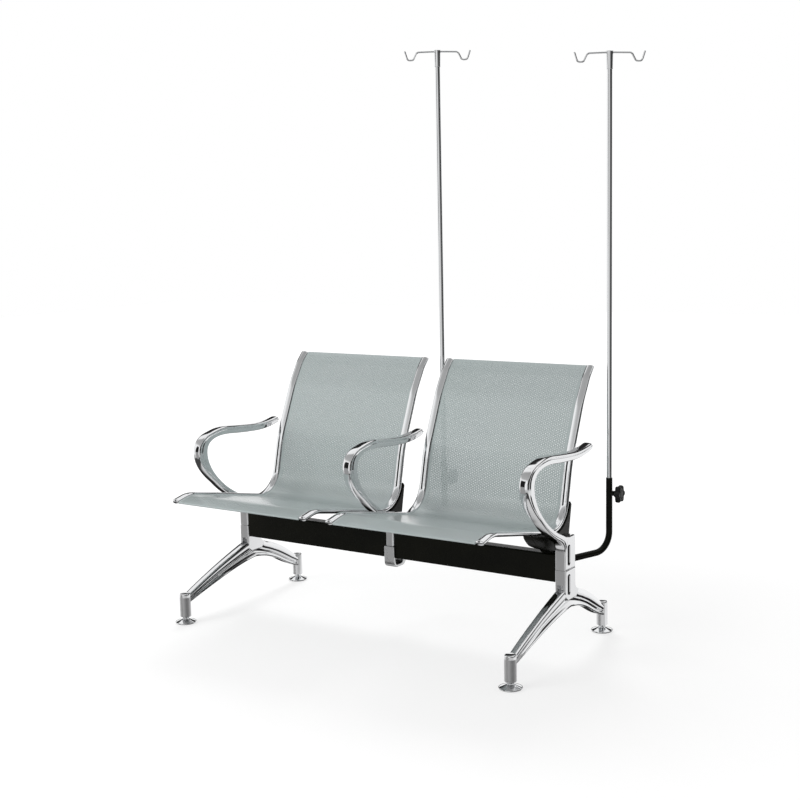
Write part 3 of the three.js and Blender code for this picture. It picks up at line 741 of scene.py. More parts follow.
def perforated_pattern(width, start, end):
    """A flat sheet of staggered holes, as corner points (x, s) and faces.

    Every hole sits in the middle of a hexagonal cell, and straight strips fill the margins.
    """
    column_step = HOLE_PITCH * math.sqrt(3) / 2
    columns = int((width - 2 * SHEET_MARGIN) / column_step) // 2 * 2 + 1
    rows = int((end - start - 2 * SHEET_MARGIN) / HOLE_PITCH)
    reach = HOLE_PITCH / math.sqrt(3)
    first_s = (start + end) / 2 - (rows - 1) / 2 * HOLE_PITCH
    points, index, faces = [], {}, []

    def vertex(x, s):
        key = (round(x * 100), round(s * 100))
        if key not in index:
            index[key] = len(points)
            points.append((x, s))
        return index[key]

    cell = circle(reach, 6)
    hole = circle(HOLE_RADIUS, 6)
    edges = {side: [] for side in ("left", "right", "front", "rear")}
    for column in range(columns):
        x = (column - (columns - 1) / 2) * column_step
        odd = column % 2
        count = rows - odd
        for row in range(count):
            s = first_s + (row + odd / 2) * HOLE_PITCH
            outer = [vertex(x + dx, s + ds) for dx, ds in cell]
            inner = [vertex(x + dx, s + ds) for dx, ds in hole]
            for i in range(6):
                j = (i + 1) % 6
                faces.append((outer[i], outer[j], inner[j], inner[i]))
            if column == 0:
                edges["left"] += [outer[4], outer[3], outer[2]]
            if column == columns - 1:
                edges["right"] += [outer[5], outer[0], outer[1]]
            if row == 0:
                edges["front"] += [outer[4], outer[5]]
            if row == count - 1:
                edges["rear"] += [outer[2], outer[1]]
    rim_x = {"left": -width / 2, "right": width / 2}
    rim_s = {"front": start, "rear": end}
    rims = {}
    for side, chain in edges.items():
        chain = list(dict.fromkeys(chain))
        rim = [vertex(rim_x.get(side, points[i][0]), rim_s.get(side, points[i][1])) for i in chain]
        edges[side], rims[side] = chain, rim
        for i in range(len(chain) - 1):
            faces.append((chain[i], chain[i + 1], rim[i + 1], rim[i]))
    for side, tip in (("left", 0), ("right", -1)):
        for across, row_end in (("front", 0), ("rear", -1)):
            corner = vertex(rim_x[side], rim_s[across])
            faces.append((edges[side][row_end], rims[side][row_end], corner, rims[across][tip]))
    return np.array(points), faces


def perforated_sheet(seat_x, width, start, end):
    """Both faces of the sheet, the holes' walls and the sheet's cut edges, as one closed skin."""
    points, faces = perforated_pattern(width, start, end)
    upper = seat_surface(points[:, 0] + seat_x, points[:, 1], SHEET / 2)
    lower = seat_surface(points[:, 0] + seat_x, points[:, 1], -SHEET / 2)
    count = len(points)
    edge_use = {}
    for face in faces:
        for a, b in zip(face, face[1:] + face[:1]):
            edge_use.setdefault((min(a, b), max(a, b)), []).append((a, b))
    rims = [uses[0] for uses in edge_use.values() if len(uses) == 1]
    bm = bmesh.new()
    verts = [bm.verts.new(point) for point in np.concatenate([upper, lower])]
    for face in faces:
        bm.faces.new([verts[i] for i in face])
        bm.faces.new([verts[i + count] for i in reversed(face)])
    for a, b in rims:
        bm.faces.new([verts[i] for i in (a, b, b + count, a + count)])
    return bm


def flat_oval(width, height, power=2.1, count=48):
    """The section of a flat-oval tube, a little squarer than an ellipse."""
    round_shape = circle(1, count)
    return np.sign(round_shape) * np.abs(round_shape) ** (2 / power) * (width / 2, height / 2)


def rail_body(x):
    """One seat rail with domed ends."""
    side = np.array([1.0, 0, 0])
    distances = np.unique(np.clip(SEAT_ROUTE.distances, RAIL_DOME, SEAT_ROUTE.length - RAIL_DOME))
    places, tangents = SEAT_ROUTE.at(distances)
    points, tangents = at_x(x, places), at_x(0, tangents)
    rings = sweep(flat_oval(RAIL_WIDTH, RAIL_HEIGHT), points, tangents, side)
    front = domed(rings[:1], points[0], -tangents[0], RAIL_DOME)
    rear = domed(rings[-1:], points[-1], tangents[-1], RAIL_DOME)
    return rings_to_bmesh(front[::-1] + rings + rear)


def add_seats():
    width = RAIL_SPACING - RAIL_WIDTH - 2 * GAP
    halves = (HEM_RADIUS, SEAT_ROUTE.length * PAN_SHARE, SEAT_ROUTE.length)
    for seat, side in ENDS.items():
        seat_x = side * SEAT_MID_X
        panel = f"seat_panel_{seat}"
        for name, start, end in (("pan", *halves[:2]), ("back", *halves[1:])):
            sheet = perforated_sheet(seat_x, width, start, end)
            piece(f"seat_{name}_{seat}", sheet, SEAT, "frame", panel, sharp=40, weighted=False)
        front_y, front_z = SEAT_CORNERS[0][:2]
        hem_z = front_z - HEM_RADIUS + SHEET / 2
        hem_rim = [(HEM_RADIUS - 1, 0), (HEM_RADIUS, 1), (HEM_RADIUS, width - 1), (HEM_RADIUS - 1, width)]
        hem = revolved(hem_rim, 24)
        turned_about(hem, "Y", 90)
        moved(hem, seat_x - width / 2, front_y + HEM_RADIUS, hem_z)
        piece(f"seat_hem_{seat}", hem, SEAT, "frame", panel)
        for edge, edge_side in (("a", -1), ("b", 1)):
            x = seat_x + edge_side * RAIL_SPACING / 2
            piece(f"rail_tube_{seat}_{edge}", rail_body(x), CHROME, "frame", f"seat_rail_{seat}_{edge}")


# ---- seat brackets

BRACKET_WIDTH = 30
BRACKET_WALL = 3


def bracket_outline(inset):
    """The pressed channel's side view.  Its top follows the rail round the main bend."""
    drop = RAIL_HEIGHT / 2 + GAP + inset
    corner = SEAT_CORNERS[2]
    before = unit(np.subtract(corner[:2], SEAT_CORNERS[1][:2]))
    after = unit(np.subtract(SEAT_CORNERS[3][:2], corner[:2]))
    angle = math.acos(before @ after)
    setback = corner[2] * math.tan(angle / 2)
    centre = np.array(corner[:2]) - before * setback + np.array([-before[1], before[0]]) * corner[2]
    start = math.atan2(before[1], before[0]) - math.pi / 2
    under_rail = centre + polar(corner[2] + drop, np.linspace(start, start + angle, 24))
    front_y = -128 + inset
    front_z = under_rail[0][1] + (under_rail[0][0] - front_y) * -before[1] / before[0]
    rear = 30 if inset > 0 else 0
    foot_z = BEAM_HIGH[2] + GAP + 1.8 * inset
    foot = trace(
        (front_y, front_z),
        (front_y + 5, 353 + inset),
        (front_y + 12, 343 + inset, -96 + inset, 328 + inset),
        (-78 + inset, 318 + inset, -30 + inset, 302 + inset),
        (-19 + inset, foot_z),
        (30, foot_z),
        (94 + rear, 322 + inset),
        (112 + rear, 408),
        steps=5,
    )
    return np.concatenate([foot, under_rail[::-1]])


def add_brackets():
    half = BRACKET_WIDTH / 2
    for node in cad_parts:
        if not node.startswith("seat_bracket"):
            continue
        x = centre_of(node)[0]
        shell = plate(bracket_outline(0), x - half, x + half, 2)
        inside = plate(bracket_outline(BRACKET_WALL), x - half + BRACKET_WALL, x + half - BRACKET_WALL)
        screw_way = bar((x, 0, BEAM_HIGH[2] - 1), (x, 0, BEAM_HIGH[2] + 9), SCREW_HOLE_RADIUS)
        piece(f"pressed_{node}", cut(shell, inside, screw_way), BLACK, "frame", node)


# ---- castings

ARM_HALF = 15
ARM_TIP = 10.5  # how far the rounded rear end stands out
MIDDLE_COLUMN_HALF = 14
STRAP_HALF = 18
BOLT_Y = 29
BOLT_FOOT_Z = low_of("clamp_bolt_right")[2]
BOLT_LENGTH = 105
POST_RADIUS = 16.5
POST_BOTTOM_Z = low_of("leg_frame_right")[2]
POST_TOP_Z = 94
POST_HOLE_TOP_Z = 66
STEM_RADIUS = 5


def spaced(curve, count):
    """The same curve with evenly spaced points."""
    steps = np.concatenate([[0], np.cumsum(np.linalg.norm(np.diff(curve, axis=0), axis=1))])
    wanted = np.linspace(0, steps[-1], count)
    return np.stack([np.interp(wanted, steps, part) for part in curve.T], axis=1)


def rounded_edge(half, crown, fillet):
    """Half-breadth points (x, drop) over a crowned face with filleted edges, left to right."""
    flat = half - fillet
    across = [flat * i / 4 for i in range(-4, 5)]
    face = [(x, crown * (x / half) ** 2) for x in across]
    corner = []
    for i in range(1, 5):
        turn = math.pi / 2 * i / 4
        x = flat + fillet * math.sin(turn)
        corner.append((x, crown * (x / half) ** 2 + fillet * (1 - math.cos(turn))))
    return [(-x, drop) for x, drop in reversed(corner)] + face + corner


def cast_ring(low, high, half, crown, fillet, side, under):
    """One section of a cast arm between a lower and an upper (y, z) point.

    fillet rounds the upper edges and under the lower ones.  side holds (fraction down the
    side, inset) points of the moulding along both sides.
    """
    low, high = np.array(low, float), np.array(high, float)
    height = np.linalg.norm(high - low)
    up = (high - low) / height
    fillet = min(fillet, 0.45 * height, 0.45 * half)
    under = min(under, 0.45 * height, 0.45 * half)
    crown = min(crown, 0.3 * height)
    top = [(x, height - drop) for x, drop in rounded_edge(half, crown, fillet)]
    bottom = [(x, drop) for x, drop in reversed(rounded_edge(half, 0, under))]
    start, end = top[-1][1], bottom[0][1]
    right = [(half - inset, start + (end - start) * down) for down, inset in side]
    left = [(-x, rise) for x, rise in reversed(right)]
    ring = top + right + bottom + left
    return np.array([(x, *(low + up * rise)) for x, rise in ring])


# The moulding along a leg arm: bulging side, fine ridge, cove, then a narrow foot edge.
# Each point is (fraction down the side, inset).
LEG_MOULDING = [
    (0.06, 0.0), (0.18, 0.3), (0.28, 1.2), (0.36, 2.6), (0.42, 4.0), (0.45, 4.0), (0.49, 1.9),
    (0.54, 1.8), (0.60, 2.8), (0.67, 4.8), (0.74, 5.6), (0.80, 5.2), (0.87, 3.0), (0.92, 2.0),
    (0.97, 1.8),
]


def leg_arch():
    """The front arm, the saddle under the column and the rear arm as one crowned arch."""
    front_high = trace((-313, 89), (-301, 92), (-165, 151, -24, 192), (12, 203))
    front_low = trace((-313, 60), (-235, 84, -137, 109), (-40, 134, 12, 137))
    rear_high = trace((12, 203), (62, 180), (150, 158, 235, 91), (247, 89))
    rear_low = trace((12, 137), (85, 130, 150, 92), (205, 62, 247, 50))
    high = np.concatenate([spaced(front_high, 40), spaced(rear_high, 36)[1:]])
    low = np.concatenate([spaced(front_low, 40), spaced(rear_low, 36)[1:]])
    rings = []
    for upper, lower in zip(high, low):
        y = (upper[0] + lower[0]) / 2
        half = np.interp(y, [-313, -150, -24, 38, 110, 247], [12, 13.6, 16.4, 16.4, 13.5, 12.5])
        crown = np.interp(y, [-24, 38, 110, 200, 247], [1.5, 3, 12, 12, 6])
        rings.append(cast_ring(lower, upper, half, crown, 8, LEG_MOULDING, 4))
    return rings_to_bmesh(rings)


def cast_post(y):
    edge = 4.5
    profile = [(0, POST_BOTTOM_Z), (POST_RADIUS - 1, POST_BOTTOM_Z), (POST_RADIUS, POST_BOTTOM_Z + 1)]
    for i in range(7):
        turn = math.pi / 2 * i / 6
        profile.append((
            POST_RADIUS - edge + edge * math.cos(turn),
            POST_TOP_Z - edge + edge * math.sin(turn),
        ))
    profile.append((0, POST_TOP_Z + 0.6))
    return moved(revolved(profile, 64), 0, y, 0)


def socket_space(side):
    """The space for the beam: closed outwards at an end, and open through the middle."""
    closed = COLUMN_HALF - 8 + GAP
    x0 = -30 if side >= 0 else -closed
    x1 = 30 if side <= 0 else closed
    low_z, high_z = BEAM_LOW[2] - GAP, BEAM_HIGH[2] + GAP
    half_y = (BEAM_HIGH[1] - BEAM_LOW[1]) / 2 + GAP
    return block(x0, x1, -half_y, half_y, low_z, high_z)


def face_slot(side, span):
    """A blind upright slot in a column's outer face, with a broad bevelled rim."""
    half_y, half_z = (SLOT_Y[1] - SLOT_Y[0]) / 2, (span[1] - span[0]) / 2
    middle = np.array([sum(SLOT_Y) / 2, sum(span) / 2])
    rings = []
    for x, grow in ((COLUMN_HALF + 1, 4), (COLUMN_HALF - 2, 0), (COLUMN_HALF - SLOT_DEPTH, 0)):
        shape = rounded_rectangle(half_y - 3 + grow, half_z - 3 + grow, 4.5 + grow, 8)
        rings.append(at_x(side * x, shape + middle))
    return rings_to_bmesh(rings)


def bolt_way():
    top = BOLT_FOOT_Z + SCREW_HEAD_HEIGHT
    shank = bar((0, BOLT_Y, BOLT_FOOT_Z), (0, BOLT_Y, top + BOLT_LENGTH + 2), SCREW_HOLE_RADIUS)
    head = bar((0, BOLT_Y, BOLT_FOOT_Z - 60), (0, BOLT_Y, top + GAP), SCREW_HEAD_RADIUS + 2 * GAP)
    return union(shank, head)


def leg_casting(side):
    top = SEAM_Z - GAP
    column = plate(trace(
        (COLUMN_FRONT_Y, top),
        (COLUMN_FRONT_Y, 172),
        (-10, 160),
        (44, 160),
        (62, 181),
        (COLUMN_REAR_Y, 188, COLUMN_REAR_Y, 206),
        (COLUMN_REAR_Y, top),
        steps=8,
    ), -COLUMN_HALF, COLUMN_HALF, 6, 5)
    body = union(leg_arch(), column, *[cast_post(y) for y in FOOT_Y.values()])
    screw_y = centre_of("beam_screw_right")[1]
    notch_rear = screw_y + SCREW_HEAD_RADIUS + 2
    return cut(
        body,
        socket_space(side),
        face_slot(side, LOWER_SLOT_Z),
        bolt_way(),
        block(-9, 9, COLUMN_FRONT_Y - 20, notch_rear, 187, 206, 2, 3),
        bar((0, screw_y, 205), (0, screw_y, SEAM_Z), SCREW_HOLE_RADIUS),
        *[bar((0, y, 0), (0, y, POST_HOLE_TOP_Z), STEM_RADIUS + 2 * GAP) for y in FOOT_Y.values()],
    )


# The moulding along an arm loop: a fine bead just inside the outer edge.
ARM_MOULDING = [(0.03, 0.3), (0.12, 2.2), (0.22, 2.4), (0.33, 0.5), (0.37, 0.2)]


def arm_loop(root_half):
    """The rest itself: up and forward from the column, round the nose and back.

    pairs holds (outer, inner) points along it, from count, outer moves and inner moves.
    """
    pairs = [((-24, 284), (4, 338))]
    for count, outer_moves, inner_moves in (
        (2, [(-24, 300)], [(-5, 342)]),
        (8, [(-26, 326, -70, 346)], [(-18, 342, -30, 350)]),
        (14, [(-125, 375, -165, 414)], [(-92, 373, -138, 414)]),
        (14, [(-236, 470, -236, 516)], [(-199, 468, -199, 516)]),
        (30, [(-236, 566, -172, 577), (-128, 588, -98, 585.5)], [(-199, 568, -92, 560.5)]),
        (14, [(-30, 578, 35, 573.5)], [(-30, 554, 35, 551.5)]),
        (14, [(90, 571, 147, 581.8)], [(95, 549, 147, 563)]),
    ):
        outer = spaced(trace(pairs[-1][0], *outer_moves), count)
        inner = spaced(trace(pairs[-1][1], *inner_moves), count)
        pairs += list(zip(outer, inner))[1:]

    def section(low, high, half):
        return cast_ring(low, high, half, 1.2, 5.5, ARM_MOULDING, 2.5)

    halves = np.interp(range(len(pairs)), [4, 16], [root_half - 0.3, ARM_HALF])
    rings = [section(low, high, half) for (high, low), half in zip(pairs, halves)]
    high, low = pairs[-1]
    middle, half_height = (high + low) / 2, (high - low) / 2
    ahead = np.array([half_height[1], -half_height[0]]) / np.linalg.norm(half_height)
    for i in range(1, 8):
        turn = math.pi / 2 * i / 7
        centre = middle + ahead * ARM_TIP * math.sin(turn)
        reach = half_height * max(math.cos(turn), 0.06)
        rings.append(section(centre - reach, centre + reach, ARM_HALF - 4 * (1 - math.cos(turn))))
    return rings_to_bmesh(rings)


def armrest_casting(side):
    half = COLUMN_HALF if side else MIDDLE_COLUMN_HALF
    column = plate(trace(
        (COLUMN_FRONT_Y, SEAM_Z + GAP),
        (COLUMN_REAR_Y, SEAM_Z + GAP),
        (COLUMN_REAR_Y, COLUMN_TOP_Z - 7),
        (COLUMN_REAR_Y, COLUMN_TOP_Z, COLUMN_REAR_Y - 7, COLUMN_TOP_Z),
        (-8, COLUMN_TOP_Z),
        (COLUMN_FRONT_Y, 310),
        steps=5,
    ), -half, half, 6, 5)
    body = union(column, arm_loop(half))
    cutters = [socket_space(side), bolt_way()]
    if side:
        cutters.append(face_slot(side, UPPER_SLOT_Z))
    return cut(body, *cutters)


def strap_casting():
    """The strap that closes the middle armrest round the beam from below."""
    inner = (BEAM_HIGH[1] - BEAM_LOW[1]) / 2 + GAP
    top = SEAM_Z - GAP
    outline = trace(
        (-28, top),
        (-28, 204),
        (-28, 183, -8, 183),
        (20, 183),
        (38, 185, 38, 204),
        (38, top),
        (inner, top),
        (inner, 206),
        (inner, 190, 8, 190),
        (-8, 190),
        (-inner, 190, -inner, 206),
        (-inner, top),
        steps=9,
    )
    return cut(plate(outline, -STRAP_HALF, STRAP_HALF, 2, 3), bolt_way())


def add_castings():
    for end, side in ENDS.items():
        leg = moved(leg_casting(side), side * PITCH)
        piece(f"leg_{end}", leg, CASTING, "frame", f"leg_frame_{end}")
    for where, side in {"left": -1, "middle": 0, "right": 1}.items():
        arm = moved(armrest_casting(side), side * PITCH)
        piece(f"arm_{where}", arm, CASTING, "frame", f"armrest_{where}")
    piece("strap", strap_casting(), SATIN, "frame", "middle_strap")


# ---- levelling feet


def thread(radius, low, high, pitch=1.5, depth=0.6):
    """Profile points of a threaded length."""
    count = int((high - low) / pitch)
    points = []
    for i in range(count):
        z = low + (high - low) * i / count
        points += [(radius, z), (radius - depth, z + pitch / 2)]
    return points + [(radius, high)]


FOOT_RADIUS = 32.5
# (radius, height) up the foot disc: flat base, rolled edge with a groove inside it, cone, collar.
FOOT_DISC = [
    (0, 0), (FOOT_RADIUS - 1.5, 0), (FOOT_RADIUS - 0.4, 0.4), (FOOT_RADIUS, 1.1), (FOOT_RADIUS, 2.4),
    (FOOT_RADIUS - 0.4, 3), (31.2, 3.2), (30.4, 2.9), (29.6, 3.3), (22, 6.2), (15.5, 9.2),
    (12.6, 10.6), (11, 11), (10, 11.6), (10, 13.4), (9.4, 14), (STEM_RADIUS, 14),
]
TREAD_PITCH = 5.9


def add_feet():
    for end, side in ENDS.items():
        for row, y in FOOT_Y.items():
            x = side * PITCH
            foot = f"levelling_foot_{row}_{end}"
            base = low_of(foot)[2]
            disc = [(radius, base + z) for radius, z in FOOT_DISC]
            stem = thread(STEM_RADIUS, base + FOOT_DISC[-1][1] + 0.3, high_of(foot)[2] - 1)
            profile = disc + stem + [(STEM_RADIUS - 1, high_of(foot)[2]), (0, high_of(foot)[2])]
            turned = moved(revolved(profile, 64), x, y, 0)
            piece(f"disc_{row}_{end}", turned, CHROME, f"foot_{row}_{end}", foot, sharp=40)
            pad = f"foot_pad_{row}_{end}"
            top = high_of(pad)[2]
            tread = [(0, 0.5)]
            for i in range(4):
                groove = 4 + TREAD_PITCH * i
                tread += [(groove, 0.5), (groove + 0.4, 0), (groove + 4, 0), (groove + 4.4, 0.5)]
            edge = high_of(pad)[0] - x
            tread[-1] = (edge, 0.4)
            rubber = revolved(tread + [(edge, top - 0.3), (edge - 0.3, top), (0, top)], 64)
            piece(f"rubber_{row}_{end}", moved(rubber, x, y, 0), RUBBER, f"pad_{row}_{end}", pad)


# ---- sleeves and knobs

SLEEVE_RADIUS = 9.5
SLEEVE_BORE = 8.5
SLEEVE_BEND = 55
SLEEVE_LOW_Z = 240
FLANGE_THICKNESS = 5
NUT_HALF_FLATS = 4 * math.sqrt(3)
CLAMP_HOLE_RADIUS = 4.3
CLAMP_SCREW_RADIUS = 3.7
KNOB_RADIUS = 27
KNOB_LENGTH = 17
KNOB_LOBES = 6
KNOB_LOBE_DEPTH = 3.5


def along_screw(knob_z, levels):
    """A skin through (x, shape) levels, each shape in (y, z) round the clamp screw's axis."""
    return moved(rings_to_bmesh([at_x(x, shape) for x, shape in levels]), 0, POLE_Y, knob_z)


def round_levels(sides, *levels):
    """Levels with a round shape from (x, radius) pairs."""
    return [(x, circle(radius, sides)) for x, radius in levels]


def clamp_way(knob_z):
    return bar((0, POLE_Y, knob_z), (30, POLE_Y, knob_z), CLAMP_HOLE_RADIUS)


def sleeve_body(root_x, top_z, knob_z):
    """The bent tube and its flange, drawn with the pole's axis at x = 0."""
    inner_y = BEAM_HIGH[1] + GAP
    rear_y = inner_y + FLANGE_THICKNESS
    route = Route([
        (root_x, rear_y - 2, SLEEVE_LOW_Z, 0),
        (0, POLE_Y, SLEEVE_LOW_Z, SLEEVE_BEND),
        (0, POLE_Y, top_z, 0),
    ], degrees_per_step=5, longest=60)
    side = unit(np.cross(route.tangents[0], [0, 0, 1.0]))
    lip = 0.3
    points = np.array(route.points)
    points[-1] -= route.tangents[-1] * lip
    outer = sweep(circle(SLEEVE_RADIUS, 40), points, route.tangents, side)
    inner = sweep(circle(SLEEVE_BORE, 40), points, route.tangents, side)
    middle = (SLEEVE_RADIUS + SLEEVE_BORE) / 2
    rim = sweep(circle(middle + 0.15, 40), route.points[-1:], route.tangents[-1:], side)
    tube = rings_to_bmesh(outer + rim + inner[::-1], closed=True)
    middle_z = (BEAM_LOW[2] + BEAM_HIGH[2]) / 2
    flange = block(root_x - 20, root_x + 20, inner_y, rear_y, middle_z - 36, middle_z + 36, 1.6, 3)
    screws = []
    for name in ("flange_screw_right_low", "flange_screw_right_high"):
        z = centre_of(name)[2]
        screws.append(bar((root_x, 0, z), (root_x, 40, z), SCREW_HOLE_RADIUS))
    return joined(cut(tube, clamp_way(knob_z)), cut(flange, *screws), weld_bead(route, rear_y, side))


def weld_bead(route, rear_y, side):
    """The rippled weld where the tube meets its flange."""
    tangent = route.tangents[0]
    root = route.points[0] + tangent * ((rear_y - route.points[0][1]) / tangent[1])
    rings = []
    for turn in turns(72):
        out = side * math.cos(turn) + np.array([0, 0, 1.0]) * math.sin(turn)
        spot = root + out * (SLEEVE_RADIUS + 0.4)
        spot = spot + tangent * ((rear_y - spot[1]) / tangent[1])
        ripple = 2.1 + 0.3 * math.sin(18 * turn)
        bulge = circle(ripple, 8)
        rings.append(spot + bulge[:, :1] * out + bulge[:, 1:] * tangent)
    return rings_to_bmesh(rings, closed=True)


def nut_body(knob_z, end_x):
    flats = [(x, hexagon(NUT_HALF_FLATS)) for x in (4, end_x - 1)]
    nut = along_screw(knob_z, flats + round_levels(36, (end_x - 0.3, 7.3), (end_x, 6.8)))
    seat = bar((0, POLE_Y, knob_z - 20), (0, POLE_Y, knob_z + 20), SLEEVE_RADIUS + 0.15, 64)
    return cut(nut, seat, clamp_way(knob_z))


def pad_body(knob_z, low_x, high_x, radius):
    return along_screw(knob_z, round_levels(
        32,
        (low_x, radius - 1),
        (low_x + 0.4, radius - 0.2),
        (low_x + 0.8, radius),
        (high_x - 0.4, radius),
        (high_x, radius - 0.4),
    ))


def knob_body(knob_z, screw_x, neck_x, face_x):
    """A lobed grip with a dished face, its neck and its clamp screw, as one moulding."""
    sides = 144
    back_x = face_x - KNOB_LENGTH

    def lobed(inset, strength=1.0):
        wave = strength * np.cos(KNOB_LOBES * turns(sides)) - 1
        return polar(KNOB_RADIUS - inset + KNOB_LOBE_DEPTH * wave, turns(sides))

    threads = [(x, radius) for radius, x in thread(CLAMP_SCREW_RADIUS, screw_x, neck_x - 0.6, 1.25, 0.45)]
    neck = [(neck_x, 7.6), (neck_x + 0.6, 8.6), (neck_x + 1.4, 9), (back_x - 1, 9), (back_x, 10)]
    rim = [
        (back_x, lobed(7, 0.7)),
        (back_x + 0.5, lobed(4.6, 0.85)),
        (back_x + 1.6, lobed(2.4)),
        (back_x + 3.2, lobed(0.8)),
        (back_x + 5.4, lobed(0)),
        (face_x - 6, lobed(0)),
        (face_x - 3.4, lobed(0.7)),
        (face_x - 1.6, lobed(2.2)),
        (face_x - 0.5, lobed(4.2, 0.9)),
        (face_x, lobed(6.6, 0.8)),
        (face_x - 0.2, lobed(9, 0.6)),
        (face_x - 1.2, lobed(11, 0.3)),
    ]
    boss = [(face_x - 1.6, 10.4), (face_x - 1.2, 9.8), (face_x - 0.9, 9), (face_x - 0.7, 0.3)]
    return along_screw(knob_z, round_levels(sides, *threads, *neck) + rim + round_levels(sides, *boss))


def add_sleeves():
    for end in ENDS:
        x = centre_of(f"drip_pole_{end}")[0]
        root_x = centre_of(f"flange_screw_{end}_low")[0] - x
        top_z = high_of(f"pole_sleeve_{end}")[2]
        knob, pad = f"clamp_knob_{end}", f"clamp_pad_{end}"
        knob_z = centre_of(knob)[2]
        sleeve = moved(sleeve_body(root_x, top_z, knob_z), x)
        piece(f"sleeve_{end}", sleeve, BLACK, "frame", f"pole_sleeve_{end}")
        nut_end = high_of(f"sleeve_nut_{end}")[0] - x
        piece(f"nut_{end}", moved(nut_body(knob_z, nut_end), x), BLACK, "frame", f"sleeve_nut_{end}")
        pad_low, pad_high = low_of(pad)[0] - x, high_of(pad)[0] - x
        tip = pad_body(knob_z, pad_low, pad_high, (high_of(pad)[1] - low_of(pad)[1]) / 2)
        piece(f"tip_{end}", moved(tip, x), GREY, f"pad_{end}", pad)
        face_x = high_of(knob)[0] - x
        grip = knob_body(knob_z, low_of(knob)[0] - x, nut_end + 1, face_x)
        piece(f"knob_grip_{end}", moved(grip, x), PLASTIC, f"knob_{end}", knob)


# ---- drip poles

POLE_WALL = 1.2
POLE_LENGTH = 1340
CAP_HEIGHT = 50
HOOK_BAR_Z = POLE_LENGTH + 11
HOOK_WIRE = 2.6
HOOK_TURN = math.radians(34)
HOOK_SIDE = [(62, -1.5, 9), (74, -25, 10), (91, -25, 10), (100, 3, 0)]  # (along, z, bend radius)


def pole_tube():
    """The tube, from its own lower end at z = 0, with eased rims."""
    inner, ease = POLE_RADIUS - POLE_WALL, 0.3
    return revolved([
        (POLE_RADIUS, ease), (POLE_RADIUS, POLE_LENGTH / 2), (POLE_RADIUS, POLE_LENGTH - ease),
        (POLE_RADIUS - ease, POLE_LENGTH), (inner, POLE_LENGTH), (inner, 0), (POLE_RADIUS - ease, 0),
    ], 64, closed=True)


def pole_plug_body():
    outer, inner = POLE_RADIUS - 0.1, POLE_RADIUS - POLE_WALL - 2 * GAP
    return revolved([
        (0, -10), (5.4, -10), (6.6, -9.6), (7.4, -8.9), (outer, -7.8), (outer, -GAP),
        (inner, -GAP), (inner, 11), (inner - 1, 12), (0, 12),
    ], 48)


def cap_body():
    top = HOOK_BAR_Z + 4
    foot = top - CAP_HEIGHT
    cone = revolved([
        (0, foot), (8.9, foot), (9.4, foot + 0.5), (10.05, top - 24), (10.6, top - 2.2),
        (10.45, top - 1.2), (10.0, top - 0.4), (9.3, top), (0, top),
    ], 64)
    socket = bar((0, 0, foot - 1), (0, 0, POLE_LENGTH + 2 * GAP), POLE_RADIUS + 2 * GAP, 64)
    half = HOOK_WIRE + GAP
    groove = block(-20, 20, -half, half, HOOK_BAR_Z - half, top + 1)
    return cut(cone, socket, turned_about(groove, "Z", math.degrees(HOOK_TURN)))


def hook_body():
    """The crossbar: straight in the middle, then a dip and an upturned tip at each end."""
    flat = [(-along, z, radius) for along, z, radius in reversed(HOOK_SIDE)]
    flat += [(0, 0, 400)] + HOOK_SIDE
    along_x, along_y = math.cos(HOOK_TURN), math.sin(HOOK_TURN)
    corners = [(a * along_x, a * along_y, HOOK_BAR_Z + z, radius) for a, z, radius in flat]
    route = Route(corners, degrees_per_step=9, longest=40)
    points = np.array(route.points)
    points[0] += route.tangents[0] * HOOK_WIRE
    points[-1] -= route.tangents[-1] * HOOK_WIRE
    side = np.array([-along_y, along_x, 0])
    rings = sweep(circle(HOOK_WIRE, 24), points, route.tangents, side)
    start = domed(rings[:1], points[0], -route.tangents[0], HOOK_WIRE, 5)
    end = domed(rings[-1:], points[-1], route.tangents[-1], HOOK_WIRE, 5)
    return rings_to_bmesh(start[::-1] + rings + end)


def add_poles():
    for end in ENDS:
        x = centre_of(f"drip_pole_{end}")[0]
        z = low_of(f"drip_pole_{end}")[2]
        body = f"pole_{end}"
        piece(f"tube_{end}", moved(pole_tube(), x, POLE_Y, z), CHROME, body, f"drip_pole_{end}")
        piece(f"cap_{end}", moved(cap_body(), x, POLE_Y, z), CHROME, body, f"pole_cap_{end}")
        piece(f"hooks_{end}", moved(hook_body(), x, POLE_Y, z), CHROME, body, f"hook_bar_{end}")
        plug = moved(pole_plug_body(), x, POLE_Y, z)
        piece(f"plug_end_{end}", plug, GREY, f"plug_{end}", f"pole_plug_{end}")


add_beam()
add_castings()
add_feet()
add_seats()
add_brackets()
add_sleeves()
add_poles()
add_screws()

# ---- stage and light


def hide_from(thing, *rays):
    for ray in rays:
        setattr(thing, f"visible_{ray}", False)


FLOOR_DROP = 0.0002
FLOOR_HALF = 12


def add_floor():
    """A white studio floor that only shows the soft shadows under the bench."""
    shader = Shader("stage_floor", (0.36, 0.36, 0.36), 0.8)
    shader.roughness(shader.noise(3, 2), 0.75, 0.85)
    shader.set("Specular IOR Level", 0.1)
    shader.set("Emission Color", (1, 1, 1, 1))
    distance = shader.node("ShaderNodeVectorMath")
    distance.operation = "LENGTH"
    shader.feed(distance.inputs[0], shader.place)
    shader.set("Emission Strength", shader.between(distance.outputs["Value"], 0.8, 3.5, (0.69, 0.97)))
    bm = bmesh.new()
    bmesh.ops.create_grid(bm, x_segments=1, y_segments=1, size=FLOOR_HALF)
    mesh = mesh_from(bm, "stage_floor")
    mesh.materials.append(shader.material)
    floor = linked("stage_floor", mesh)
    floor.location = (0, 0, cad_bounds[0][2] - FLOOR_DROP)
    hide_from(floor, "glossy", "diffuse")


